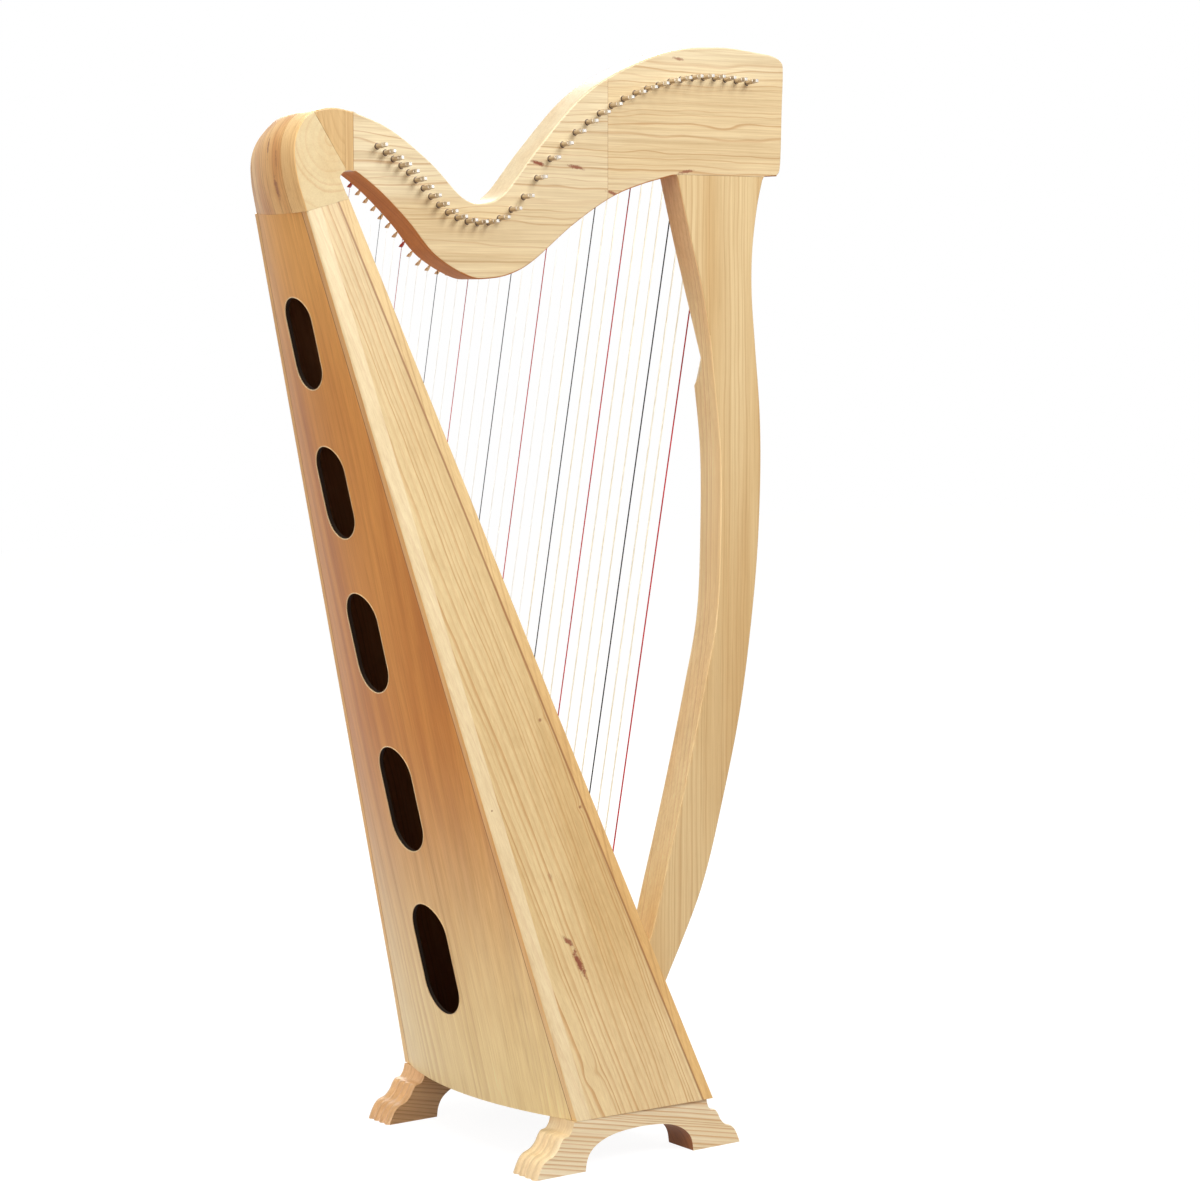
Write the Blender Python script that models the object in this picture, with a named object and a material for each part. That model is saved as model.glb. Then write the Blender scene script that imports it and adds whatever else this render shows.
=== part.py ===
# A 36-string lever harp in metres, +Z up, +X towards the pillar, +Y to the player's left.
# A tapered soundbox with a bowed back stands on two clawed feet. A laminated shoulder block
# joins it to the neck, and a curved pillar closes the frame. Everything is drawn with the
# strings in the plane y = 0, beside the left face of the neck, and moved by FRAME_SHIFT at the
# end. Each string has a tuning pin, a bridge pin and a lever that turns on its own axis.

import math

import bmesh
import bpy
from mathutils import Vector

GAP = 0.0003                          # clearance that touching pieces keep
FRAME_SHIFT = Vector((-0.0043, -0.0050, 0))   # brings the middle of the harp over the origin

# Soundbox: a wedge between its horizontal sole and the sloping seam under the shoulder
SOLE_BACK = Vector((-0.0487, 0, 0.0634))
SOLE_FRONT = Vector((0.1555, 0, 0.0634))
SEAM_BACK = Vector((-0.3390, 0, 1.1500))
SEAM_FRONT = Vector((-0.2810, 0, 1.1660))
HALF_SOLE_BACK = 0.1910               # half widths of the box at three of its corners
HALF_SOLE_FRONT = 0.1960
HALF_SEAM_BACK = 0.0605
ASIDE_SOLE = 0.0050                   # the middle of the box is this far left of the strings
ASIDE_SEAM = 0.0035
BOARD = 0.020                         # side board thickness
LIP = 0.0105                          # side board outside the back panel, rounded over
LIP_RUNOUT = 0.105                    # share of the length where the rounding runs out
PANEL = 0.006                         # back panel thickness
CROWN_SOLE = 0.033                    # how far the back panel bows out at each end
CROWN_SEAM = 0.0085
RAIL = 0.0150                         # depth of the front rails
RAIL_LIP = 0.010                      # rail beside the soundboard
SOUNDBOARD = 0.005
BOARD_INSET = 0.0005                  # soundboard face below the rail faces

# Sound holes from the lowest up: share of the back's length, offset to the left, length, width
HOLES = (
    (0.1619, 0.0076, 0.1466, 0.0760), (0.3499, 0.0065, 0.1358, 0.0710),
    (0.5289, 0.0055, 0.1265, 0.0685), (0.6975, 0.0035, 0.1150, 0.0625),
    (0.8608, 0.0018, 0.1126, 0.0573),
)
HOLE_REACH = 0.03                     # half depth of their cutters

# Inside the box
BASE_TOP = 0.030                      # shares of the box length
BRACES = (0.25, 0.425, 0.60, 0.775)
BRACE_HALF = 0.006
BRACE_DEPTH = 0.016
INNER_RIB = 0.007                     # its depth, and how much wider than the string rib
INNER_RIB_WIDER = 0.002
INNER_RIB_FOOT = 0.05
RIB_HEAD = 0.985                      # share of the box length where both ribs end

# Neck and pillar: both right faces are flush with the right side of the shoulder
RIGHT_FACE = -0.0570
NECK_LEFT = -0.0150
PILLAR_LEFT = -0.0130
NECK_ROUND = 0.0020
PILLAR_ROUND = 0.0025
JOINT_X = -0.2746                     # shoulder to neck
CAP_Z = 1.2041                        # pillar to neck

LIP_X = 0.3392                        # where the head overhangs the pillar
LIP_Z = 1.2055

NECK_TOP = (
    (JOINT_X, 1.2662), (-0.2227, 1.2469), (-0.1668, 1.2096), (-0.1219, 1.1697),
    (-0.0920, 1.1637), (-0.0611, 1.1767), (-0.0130, 1.2303), (0.0507, 1.2932),
    (0.1128, 1.3293), (0.1921, 1.3565), (0.2682, 1.3641), (0.3290, 1.3600), (0.3535, 1.3566),
    (0.3660, 1.3505), (0.3700, 1.3390), (0.3684, 1.2899), (0.3660, 1.2200), (0.3600, LIP_Z),
)
NECK_BELLY = (
    (0.1993, CAP_Z), (0.1431, 1.1902), (0.0962, 1.1729), (0.0393, 1.1391), (-0.0179, 1.0964),
    (-0.0517, 1.0797), (-0.0851, 1.0737), (-0.1146, 1.0762), (-0.1618, 1.1009),
    (-0.1998, 1.1403), (-0.2367, 1.1730), (-0.2648, 1.1928), (JOINT_X, 1.1972),
)
PILLAR_FRONT = (
    (0.3384, CAP_Z), (0.3292, 1.1677), (0.3216, 1.1129), (0.3208, 1.0560), (0.3270, 0.9861),
    (0.3352, 0.8954), (0.3357, 0.8006), (0.3282, 0.6858), (0.3073, 0.5382), (0.2782, 0.4158),
    (0.2416, 0.2965), (0.1853, 0.1847), (0.1560, 0.1290), (0.1398, 0.1030),
)
PILLAR_REAR = (
    (0.1195, 0.1545), (0.1584, 0.2379), (0.1794, 0.3077), (0.2127, 0.4261), (0.2463, 0.5587),
    (0.2652, 0.6475), (0.2704, 0.7527), (0.2695, 0.8584), (0.2583, 0.9527), (0.2519, 1.0035),
    (0.2395, 1.0636), (0.2225, 1.1209), (0.1990, CAP_Z),
)
# Notch that clears the longest strings, cut from the rear left edge of the pillar:
# height, rear edge, where the cut leaves the rear face, and its depth on the left face
NOTCH = (
    (1.2150, 0.1965, -0.0204, 0.007),
    (0.9750, 0.2555, -0.0344, 0.016),
    (0.9380, 0.2602, -0.0134, 0.001),
)
NOTCH_BEYOND = 0.02                   # how far its cutter reaches outside the pillar

# Shoulder block: stations from the seam round to the neck. Inner and outer points in the
# side view, then the left half width, the crown of the rear face and its edge radius
SHOULDER = (
    ((-0.2810, 1.1660), (-0.3390, 1.1500), 0.0640, 0.0085, 0.0105),
    ((-0.2846, 1.1712), (-0.3445, 1.1660), 0.0606, 0.0087, 0.0108),
    ((-0.2880, 1.1780), (-0.3500, 1.1840), 0.0569, 0.0085, 0.0112),
    ((-0.2912, 1.1850), (-0.3545, 1.2050), 0.0523, 0.0076, 0.0118),
    ((-0.2929, 1.1895), (-0.3553, 1.2230), 0.0447, 0.0063, 0.0120),
    ((-0.2921, 1.1925), (-0.3510, 1.2398), 0.0324, 0.0045, 0.0120),
    ((-0.2890, 1.1955), (-0.3401, 1.2552), 0.0167, 0.0024, 0.0105),
    ((-0.2850, 1.1975), (-0.3255, 1.2634), 0.0033, 0.0006, 0.0080),
    ((-0.2798, 1.1984), (-0.3003, 1.2675), -0.0066, 0.0000, 0.0045),
    ((JOINT_X, 1.1972), (JOINT_X, 1.2662), NECK_LEFT, 0.0000, 0.0024),
)
CHEEK_RIGHT = -0.0345                 # joints between the three layers of the shoulder
CHEEK_LEFT = 0.0415
WEDGE_BEYOND = 0.6                    # share of the joint added above its top
STRIP = 0.0112                        # upright strip against the neck
STRIP_FOOT = 1.1900
WEDGE_TOP = (-0.3210, 1.2542)         # slanted joint between right cheek and wedge
WEDGE_FOOT = (-0.2912, 1.2090)
# Cutters that part the layers reach from here to there, well outside the block
REACH_LOW = Vector((-0.5, -0.2, 1.0))
REACH_HIGH = Vector((-0.2, 0.2, 1.4))

# Strings: number 1 is the shortest. Spacing square to the strings, at some of them
STRINGS = 36
SPACING = ((1, 0.0120), (7, 0.0111), (11, 0.0146), (19, 0.0153), (36, 0.0166))
ROW_X = 0.1540                        # the row of string feet at sole height, and its lean
ROW_LEAN = 0.3909
LAST_FOOT_Z = 0.1726                  # where the longest string reaches that row
SLOPE_8 = 0.152                       # forward lean of strings 8 and 36
SLOPE_36 = 0.1765
STRING_THIN = 0.00032                 # radii of the shortest and longest
STRING_THICK = 0.00075
RIB_HALF = (0.014, 0.010)             # half widths of the string rib, low and high
RIB = 0.004
RIB_FOOT = 0.094                      # share of the box length where the rib starts
EYELET = 0.0015                       # the strings start this far in front of the board
WIND = 1.2                            # share of its radius a string stands off its pin

# Tuning pins: their right ends follow this line on the right face of the neck
PIN_LINE = (
    (-0.2581, 1.2356), (-0.2400, 1.2258), (-0.1970, 1.1963), (-0.1556, 1.1597), (-0.1291, 1.1451),
    (-0.0997, 1.1401), (-0.0688, 1.1462), (-0.0322, 1.1739), (0.0066, 1.2202), (0.0610, 1.2644),
    (0.1348, 1.3026), (0.2237, 1.3244), (0.3102, 1.3220), (0.3365, 1.3184),
)
PIN_RADIUS = 0.0031
PIN_OUT = 0.0145                      # round part outside the right face
PIN_HEAD = 0.0065                     # square end for the tuning key
PIN_SQUARE = 0.0022                   # half its width across flats
PIN_TAPER = 0.0012                    # between round and square
PIN_LEFT = 0.0045                     # left end, where the string winds on
PIN_TILT = math.radians(4)
PIN_BEHIND = 0.0040                   # pin axes behind the string lines

# Sharping levers: pivots hang below the tuning pins and in front of their strings
PIVOT_FIRST = 0.0338
PIVOT_TENTH = 0.0500
PIVOT_AHEAD = 0.0031                  # from the side of the string, square to it
BRIDGE_ABOVE = 0.0160                 # bridge pin above the pivot
BRIDGE_RADIUS = 0.0020
BRIDGE_END = 0.0022
LET_IN = 0.004                        # how deep the bridge pins sit in the neck
PLATE_IN = 0.002
PLATE_HALF = (0.0038, 0.0062)         # mounting plate, across and along the string
PLATE_OUTLINE = (                     # shares of those, upper end square, lower end short
    (1, 0.7), (0.5, 1), (-0.5, 1), (-1, 0.7), (-1, -0.5), (-0.5, -0.7), (0.5, -0.7), (1, -0.5),
)
PLATE = 0.0012
HUB_RADIUS = 0.0032
HUB_TOP = -0.0013
CAM = (                               # outline: reach from the pivot, and sideways
    (-0.0008, -0.0019), (0.0018, -0.0017), (0.0028, -0.0006), (0.0028, 0.0006),
    (0.0018, 0.0017), (-0.0008, 0.0019),
)
LEVER_REST = math.radians(261)        # direction of the handle, from +X towards +Z
LEVER_TRAVEL = math.radians(65)
CAM_FACES = math.radians(171)         # square to the strings, towards them
CAM_SIDES = (-0.0030, 0.0012)
HANDLE_CREST = 0.55                   # share of the width at the far face
# Handle sections: distance from the pivot, half width, near and far face
HANDLE = (
    (-0.0014, 0.0014, -0.0060, -0.0020), (0.0032, 0.0016, -0.0044, -0.0008),
    (0.0052, 0.0012, -0.0016, 0.0014), (0.0066, 0.0016, 0.0006, 0.0034),
    (0.0090, 0.0023, 0.0034, 0.0058), (0.0108, 0.0023, 0.0056, 0.0080),
    (0.0122, 0.0012, 0.0076, 0.0092),
)

# Feet
FOOT_OUTER = {-1: 0.186, 1: 0.191}    # outer sides of the right and the left foot
FOOT_WIDTH = 0.050
FOOT_BACK = -0.0525                   # root of the back toes under the box
FOOT_FRONT = 0.1490
FRONT_TOE = 0.97                      # reach of the front toes, as a share of the back ones
TOE = (                               # reach beyond the root, height, share of the grooving
    (0.0000, 0.0631, 0.0), (0.0022, 0.0545, 0.0), (0.0070, 0.0478, 0.1), (0.0135, 0.0466, 0.6),
    (0.0185, 0.0452, 1.0), (0.0225, 0.0400, 1.0), (0.0262, 0.0330, 1.0), (0.0335, 0.0258, 1.0),
    (0.0430, 0.0222, 1.0), (0.0492, 0.0172, 1.0), (0.0540, 0.0090, 1.0), (0.0580, 0.0000, 1.0),
)
TOES = 4
GROOVE = 0.0030
ARCH = (
    (-0.0354, 0.0000), (-0.0332, 0.0130), (-0.0262, 0.0248), (-0.0110, 0.0345),
    (0.0130, 0.0408), (0.0460, 0.0430), (0.0780, 0.0414), (0.1010, 0.0362),
    (0.1180, 0.0264), (0.1262, 0.0150), (0.1290, 0.0000),
)

for old in list(bpy.data.objects):
    bpy.data.objects.remove(old, do_unlink=True)

HARP = bpy.data.collections.new("harp")
CUTTERS = bpy.data.collections.new("cutters")
bpy.context.scene.collection.children.link(HARP)
bpy.context.scene.collection.children.link(CUTTERS)


def finish(name, colour, roughness=0.4, metallic=0.0):
    material = bpy.data.materials.new(name)
    material.use_nodes = True
    shader = material.node_tree.nodes["Principled BSDF"]
    shader.inputs["Base Color"].default_value = (*colour, 1.0)
    shader.inputs["Roughness"].default_value = roughness
    shader.inputs["Metallic"].default_value = metallic
    return material


ASH = (0.76, 0.56, 0.31)
HONEY = (0.60, 0.33, 0.12)
AMBER = (0.72, 0.47, 0.20)
SPRUCE = (0.80, 0.62, 0.38)
GUT = (0.80, 0.70, 0.50)
BRASS = (0.78, 0.55, 0.24)
RED = (0.50, 0.05, 0.04)


def new_object(name, mesh, colour, collection=HARP, **look):
    obj = bpy.data.objects.new(name, mesh)
    collection.objects.link(obj)
    if collection is CUTTERS:
        obj.hide_render = True
        obj.display_type = "WIRE"
    else:
        mesh.materials.clear()
        mesh.materials.append(finish(name, colour, **look))
    return obj


def to_mesh(name, bm):
    bmesh.ops.recalc_face_normals(bm, faces=bm.faces)
    mesh = bpy.data.meshes.new(name)
    bm.to_mesh(mesh)
    bm.free()
    return mesh


def loft_into(bm, rings):
    rows = [[bm.verts.new(point) for point in ring] for ring in rings]
    count = len(rings[0])
    for low, high in zip(rows, rows[1:]):
        for i in range(count):
            j = (i + 1) % count
            bm.faces.new((low[i], low[j], high[j], high[i]))
    bm.faces.new(rows[0][::-1])
    bm.faces.new(rows[-1])


def loft(name, rings, colour, collection=HARP, **look):
    bm = bmesh.new()
    loft_into(bm, rings)
    return new_object(name, to_mesh(name, bm), colour, collection, **look)


def combine(target, cutter, operation):
    modifier = target.modifiers.new(operation.lower(), "BOOLEAN")
    modifier.operation = operation
    modifier.object = cutter
    modifier.solver = "EXACT"


def spline(points, steps):
    # Catmull-Rom curve through the points, with the ends kept
    keys = [Vector(p) for p in points]
    keys = [2 * keys[0] - keys[1]] + keys + [2 * keys[-1] - keys[-2]]
    curve = []
    for a, b, c, d in zip(keys, keys[1:], keys[2:], keys[3:]):
        for step in range(steps):
            u = step / steps
            curve.append(0.5 * (2 * b + (c - a) * u + (2 * a - 5 * b + 4 * c - d) * u * u
                                + (3 * b - a - 3 * c + d) * u ** 3))
    curve.append(keys[-2])
    return curve


def mix(a, b, share):
    return a + (b - a) * share


# The soundbox in its own terms

def box_half_width(point):
    rise = SEAM_BACK - SOLE_BACK
    across_x = (HALF_SOLE_FRONT - HALF_SOLE_BACK) / (SOLE_FRONT.x - SOLE_BACK.x)
    across_z = (HALF_SEAM_BACK - HALF_SOLE_BACK - across_x * rise.x) / rise.z
    return HALF_SOLE_BACK + across_x * (point.x - SOLE_BACK.x) + across_z * (point.z - SOLE_BACK.z)


def box_middle(point):
    share = (point.z - SOLE_BACK.z) / (SEAM_BACK.z - SOLE_BACK.z)
    return mix(ASIDE_SOLE, ASIDE_SEAM, share)


SEAM_DIRECTION = (SEAM_FRONT - SEAM_BACK).normalized()


def box_edge(edge, inset, share):
    # A point of the side view: edge is back or front, inset is measured into the box
    if edge == "back":
        low = SOLE_BACK + Vector((inset, 0, 0))
        high = SEAM_BACK + SEAM_DIRECTION * inset
    else:
        low = SOLE_FRONT - Vector((inset, 0, 0))
        high = SEAM_FRONT - SEAM_DIRECTION * inset
    return low.lerp(high, share)


def box_corner(edge, inset, margin, hand, share):
    point = box_edge(edge, inset, share)
    return Vector((point.x, box_middle(point) + hand * (box_half_width(point) - margin), point.z))


def bow_end(back, forward, half, crown, aside, across, inset):
    # A point of the bowed back at one end: across runs from -1 to 1 along the arc
    radius = (half * half + crown * crown) / (2 * crown)
    angle = math.asin(half / radius)
    out = radius * (math.cos(across * angle) - math.cos(angle))
    point = back + forward * (inset - out)
    return Vector((point.x, aside + radius * math.sin(across * angle), point.z))


def bow(across, inset, share):
    low = bow_end(SOLE_BACK, Vector((1, 0, 0)), HALF_SOLE_BACK - LIP - GAP, CROWN_SOLE,
                  ASIDE_SOLE, across, inset)
    high = bow_end(SEAM_BACK, SEAM_DIRECTION, HALF_SEAM_BACK - LIP - GAP, CROWN_SEAM,
                   ASIDE_SEAM, across, inset)
    return low.lerp(high, share)


def steps_between(start, end, count):
    return [start + (end - start) * i / count for i in range(count + 1)]


TOP = 1 - 0.0004                      # pieces stop just short of the seam


def make_side_board(name, hand):
    arc = [math.radians(a) for a in (0, 30, 60, 90)]

    def ring(share):
        round_over = mix(0.001, LIP - GAP, min(1, share / LIP_RUNOUT))
        corners = [box_corner("front", RAIL + GAP, 0, hand, share)]
        corners += [box_corner("back", round_over * (1 - math.sin(a)), round_over * (1 - math.cos(a)),
                               hand, share) for a in arc]
        corners += [box_corner("back", 0, LIP, hand, share),
                    box_corner("back", PANEL + GAP, LIP, hand, share),
                    box_corner("back", PANEL + GAP, BOARD, hand, share),
                    box_corner("front", RAIL + GAP, BOARD, hand, share)]
        return corners

    return loft(name, [ring(0), ring(LIP_RUNOUT / 2), ring(LIP_RUNOUT), ring(TOP)], ASH)


def make_front_rail(name, hand):
    floor = BOARD_INSET + SOUNDBOARD + GAP

    def ring(share):
        spots = ((RAIL, 0), (0, 0), (0, RAIL_LIP), (floor, RAIL_LIP), (floor, BOARD), (RAIL, BOARD))
        return [box_corner("front", inset, margin, hand, share) for inset, margin in spots]

    return loft(name, [ring(0), ring(TOP)], AMBER)


def make_soundboard():
    margin = RAIL_LIP + GAP
    back = BOARD_INSET + SOUNDBOARD

    def ring(share):
        return [box_corner("front", inset, margin, hand, share)
                for inset, hand in ((BOARD_INSET, -1), (BOARD_INSET, 1), (back, 1), (back, -1))]

    return loft("soundboard", [ring(0), ring(TOP)], SPRUCE)


def make_inner_rib():
    near = BOARD_INSET + SOUNDBOARD + GAP

    def ring(share):
        half = mix(*RIB_HALF, share) + INNER_RIB_WIDER
        low, high = box_edge("front", near, share), box_edge("front", near + INNER_RIB, share)
        return [Vector((p.x, y, p.z)) for p, y in ((low, -half), (low, half), (high, half), (high, -half))]

    return loft("inner_string_rib", [ring(INNER_RIB_FOOT), ring(RIB_HEAD)], ASH)


def slot(bm, centre, forward, length, width):
    # A stadium-shaped prism whose axis is forward and whose long side is square to it
    along = forward.cross(Vector((0, 1, 0))).normalized()
    across = Vector((0, 1, 0))
    run = (length - width) / 2
    outline = []
    for end in (1, -1):
        for step in range(9):
            angle = math.pi * step / 8
            outline.append(across * (end * width / 2 * math.cos(angle))
                           + along * (end * (run + width / 2 * math.sin(angle))))
    loft_into(bm, [[centre + p + forward * reach for p in outline]
                   for reach in (-HOLE_REACH, HOLE_REACH)])


def make_back_panel():
    arc = steps_between(-1, 1, 14)

    def ring(share):
        return [bow(a, 0, share) for a in arc] + [bow(a, PANEL, share) for a in reversed(arc)]

    panel = loft("back_panel", [ring(0), ring(TOP)], HONEY)
    bm = bmesh.new()
    rise = (bow(0, 0, 1) - bow(0, 0, 0)).normalized()
    forward = Vector((rise.z, 0, -rise.x)).normalized()
    for share, y, length, width in HOLES:
        centre = bow(0, PANEL / 2, share)
        slot(bm, Vector((centre.x, y, centre.z)), forward, length, width)
    cutter = new_object("hole_cutter", to_mesh("hole_cutter", bm), ASH, CUTTERS)
    combine(panel, cutter, "DIFFERENCE")


def cross_piece(name, low, high, front, colour):
    # Fills the box from the bowed back forward to the front edge, between the side boards
    arc = steps_between(-0.9, 0.9, 8)

    def ring(share):
        points = []
        for a in arc:
            point = bow(a, PANEL + GAP, share)
            limit = box_half_width(point) - BOARD - 2 * GAP
            middle = box_middle(point)
            y = max(middle - limit, min(middle + limit, point.y))
            points.append(Vector((point.x, y, point.z)))
        for hand in (1, -1):
            points.append(box_corner(*front, BOARD + 2 * GAP, hand, share))
        return points

    loft(name, [ring(low), ring(high)], colour)


def make_base_block():
    cross_piece("base_block", 0, BASE_TOP, ("front", RAIL + 2 * GAP), ASH)


def make_braces():
    for number, share in enumerate(BRACES, start=1):
        cross_piece(f"back_brace_{number}", share - BRACE_HALF, share + BRACE_HALF,
                    ("back", PANEL + GAP + BRACE_DEPTH), SPRUCE)


# Shoulder block

def shoulder_ring(station):
    (inner_x, inner_z), (outer_x, outer_z), left, crown, radius = station
    inner = Vector((inner_x, 0, inner_z))
    outer = Vector((outer_x, 0, outer_z))
    reach = (outer - inner).length
    out = (outer - inner) / reach

    def spot(distance, y):
        point = inner + out * distance
        return Vector((point.x, y, point.z))

    ring = [spot(0, RIGHT_FACE)]
    arc = [math.radians(a) for a in (0, 30, 60, 90)]
    for a in arc:
        ring.append(spot(reach - radius * (1 - math.sin(a)), RIGHT_FACE + radius * (1 - math.cos(a))))
    start, end = RIGHT_FACE + radius, left - radius
    for u in (0.2, 0.4, 0.6, 0.8):
        ring.append(spot(reach + crown * 4 * u * (1 - u), mix(start, end, u)))
    for a in reversed(arc):
        ring.append(spot(reach - radius * (1 - math.sin(a)), left - radius * (1 - math.cos(a))))
    ring.append(spot(0, left))
    return ring


def box_solid(name, low, high):
    bm = bmesh.new()
    bmesh.ops.create_cube(bm, size=1)
    size = Vector(high) - Vector(low)
    middle = (Vector(high) + Vector(low)) / 2
    for vertex in bm.verts:
        vertex.co = Vector((vertex.co.x * size.x, vertex.co.y * size.y, vertex.co.z * size.z)) + middle
    return new_object(name, to_mesh(name, bm), ASH, CUTTERS)


def prism(name, outline, low_y, high_y, colour, collection=HARP):
    return loft(name, [[Vector((x, y, z)) for x, z in outline] for y in (low_y, high_y)],
                colour, collection)


def make_shoulder():
    rings = [shoulder_ring(station) for station in SHOULDER]
    lift = (SEAM_DIRECTION.cross(Vector((0, 1, 0)))).normalized() * -GAP
    rings[0] = [point + lift for point in rings[0]]
    slabs = {
        "shoulder_core": (CHEEK_RIGHT + GAP / 2, CHEEK_LEFT - GAP / 2),
        "shoulder_cheek_left": (CHEEK_LEFT + GAP / 2, REACH_HIGH.y),
        "shoulder_cheek_right": (REACH_LOW.y, CHEEK_RIGHT - GAP / 2),
    }

    def layer(name, low, high, colour):
        piece = loft(name, rings, colour)
        slab = box_solid(name + "_slab", (REACH_LOW.x, low, REACH_LOW.z), (JOINT_X, high, REACH_HIGH.z))
        combine(piece, slab, "INTERSECT")
        return piece

    def region(name, outline):
        return prism(name, outline, REACH_LOW.y, REACH_HIGH.y, ASH, CUTTERS)

    layers = {name: layer(name, *limits, ASH) for name, limits in slabs.items()}
    # The right cheek is three pieces: the cheek, a wedge above it and a strip at the neck
    slope = Vector((WEDGE_FOOT[0] - WEDGE_TOP[0], 0, WEDGE_FOOT[1] - WEDGE_TOP[1]))
    top = Vector((WEDGE_TOP[0], 0, WEDGE_TOP[1])) - slope * WEDGE_BEYOND
    strip_x = JOINT_X - STRIP
    foot = top + slope * ((strip_x - top.x) / slope.x)
    high = REACH_HIGH.z
    right = (REACH_HIGH.x, STRIP_FOOT)
    above = [(top.x, top.z), (foot.x, foot.z), (strip_x, STRIP_FOOT), right,
             (REACH_HIGH.x, high), (top.x, high)]
    combine(layers["shoulder_cheek_right"], region("cheek_limit", above), "DIFFERENCE")
    wedge = [(top.x + GAP, top.z + GAP), (foot.x - GAP / 2, foot.z + 2 * GAP),
             (foot.x - GAP / 2, high), (top.x + GAP, high)]
    strip = [(strip_x + GAP / 2, STRIP_FOOT + GAP), (REACH_HIGH.x, STRIP_FOOT + GAP),
             (REACH_HIGH.x, high), (strip_x + GAP / 2, high)]
    for name, outline in (("shoulder_wedge", wedge), ("shoulder_strip", strip)):
        piece = layer(name, *slabs["shoulder_cheek_right"], AMBER)
        combine(piece, region(name + "_region", outline), "INTERSECT")


# Neck and pillar

def rounded_slab(outline, square, right, left, radius):
    # An upright slab whose long edges are rounded over. Points counted in square keep
    # their full thickness, so the slab meets its neighbour flat there
    count = len(outline)
    inward = []
    for i in range(count):
        before, here, after = outline[i - 1], outline[i], outline[(i + 1) % count]
        run = (here - before).normalized() + (after - here).normalized()
        inward.append(Vector((-run.y, run.x)).normalized())
    area = sum(a.x * b.y - b.x * a.y for a, b in zip(outline, outline[1:] + outline[:1]))
    turn = 1 if area > 0 else -1
    rings = []
    for angle in (0, 45, 90):
        inset = radius * (1 - math.sin(math.radians(angle)))
        rings.append((right + radius * (1 - math.cos(math.radians(angle))), inset))
    rings += [(left + right - y, inset) for y, inset in reversed(rings)]
    solid = []
    for y, inset in rings:
        solid.append([Vector((p.x + n.x * turn * inset * (i not in square),
                              y,
                              p.y + n.y * turn * inset * (i not in square)))
                      for i, (p, n) in enumerate(zip(outline, inward))])
    return solid


def string_lines():
    # Foot in the row and lean of each string, from the longest to the shortest
    def spacing(number):
        for (n0, s0), (n1, s1) in zip(SPACING, SPACING[1:]):
            if number <= n1:
                return mix(s0, s1, (number - n0) / (n1 - n0))
        return SPACING[-1][1]

    def slope(number):
        return mix(SLOPE_8, SLOPE_36, (number - 8) / (36 - 8))

    row = math.atan(ROW_LEAN)
    foot_z = LAST_FOOT_Z
    lines = {}
    for number in range(STRINGS, 0, -1):
        foot_x = ROW_X - ROW_LEAN * (foot_z - SOLE_FRONT.z)
        lines[number] = (Vector((foot_x, 0, foot_z)), slope(number))
        between = number - 0.5
        lean = math.atan(slope(between)) + row
        foot_z += spacing(between) / math.sin(lean) * math.cos(row)
    return lines


def pin_places(lines):
    # Each tuning pin sits on the pin line, a little behind its string
    curve = spline(PIN_LINE, 24)
    places = {}
    for number, (foot, slope) in lines.items():
        crossings = []
        for a, b in zip(curve, curve[1:]):
            side_a = a.x + PIN_BEHIND - (foot.x + slope * (a.y - foot.z))
            side_b = b.x + PIN_BEHIND - (foot.x + slope * (b.y - foot.z))
            if side_a <= 0 < side_b:
                crossings.append(a.lerp(b, side_a / (side_a - side_b)))
        places[number] = crossings[0]
    return places


LINES = string_lines()
PINS = pin_places(LINES)


def string_x(number, z):
    foot, slope = LINES[number]
    return foot.x + slope * (z - foot.z)


def string_radius(number):
    return mix(STRING_THIN, STRING_THICK, (number - 1) / (STRINGS - 1))


def pivot_place(number):
    drop = mix(PIVOT_FIRST, PIVOT_TENTH, min(number - 1, 9) / 9)
    z = PINS[number].y - drop
    ahead = (PIVOT_AHEAD + string_radius(number)) / math.cos(math.atan(LINES[number][1]))
    return Vector((string_x(number, z) + ahead, 0, z))


def bridge_place(number):
    z = pivot_place(number).z + BRIDGE_ABOVE
    behind = BRIDGE_RADIUS + string_radius(number) + GAP
    return Vector((string_x(number, z) - behind, 0, z))


def rod(bm, place, radius, sides, low_y, high_y):
    ring = [(radius * math.cos(2 * math.pi * i / sides), radius * math.sin(2 * math.pi * i / sides))
            for i in range(sides)]
    loft_into(bm, [[Vector((place.x + x, y, place.z + z)) for x, z in ring] for y in (low_y, high_y)])


def tuning_pin(bm, place):
    # Round through the neck, square at its right end, tilted up towards the key
    outward = Vector((0, -math.cos(PIN_TILT), math.sin(PIN_TILT)))
    upward = Vector((0, math.sin(PIN_TILT), math.cos(PIN_TILT)))
    base = Vector((place.x, RIGHT_FACE, place.y))
    round_ring = [(PIN_RADIUS * math.cos(math.pi * i / 4), PIN_RADIUS * math.sin(math.pi * i / 4))
                  for i in range(8)]
    square_ring = [(PIN_SQUARE * x, PIN_SQUARE * z)
                   for x, z in ((1, 0), (1, 1), (0, 1), (-1, 1), (-1, 0), (-1, -1), (0, -1), (1, -1))]
    stations = ((-(PIN_LEFT - RIGHT_FACE), round_ring), (PIN_OUT, round_ring),
                (PIN_OUT + PIN_TAPER, square_ring), (PIN_OUT + PIN_HEAD, square_ring))
    loft_into(bm, [[base + outward * reach + Vector((x, 0, 0)) + upward * z for x, z in ring]
                   for reach, ring in stations])


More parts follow.
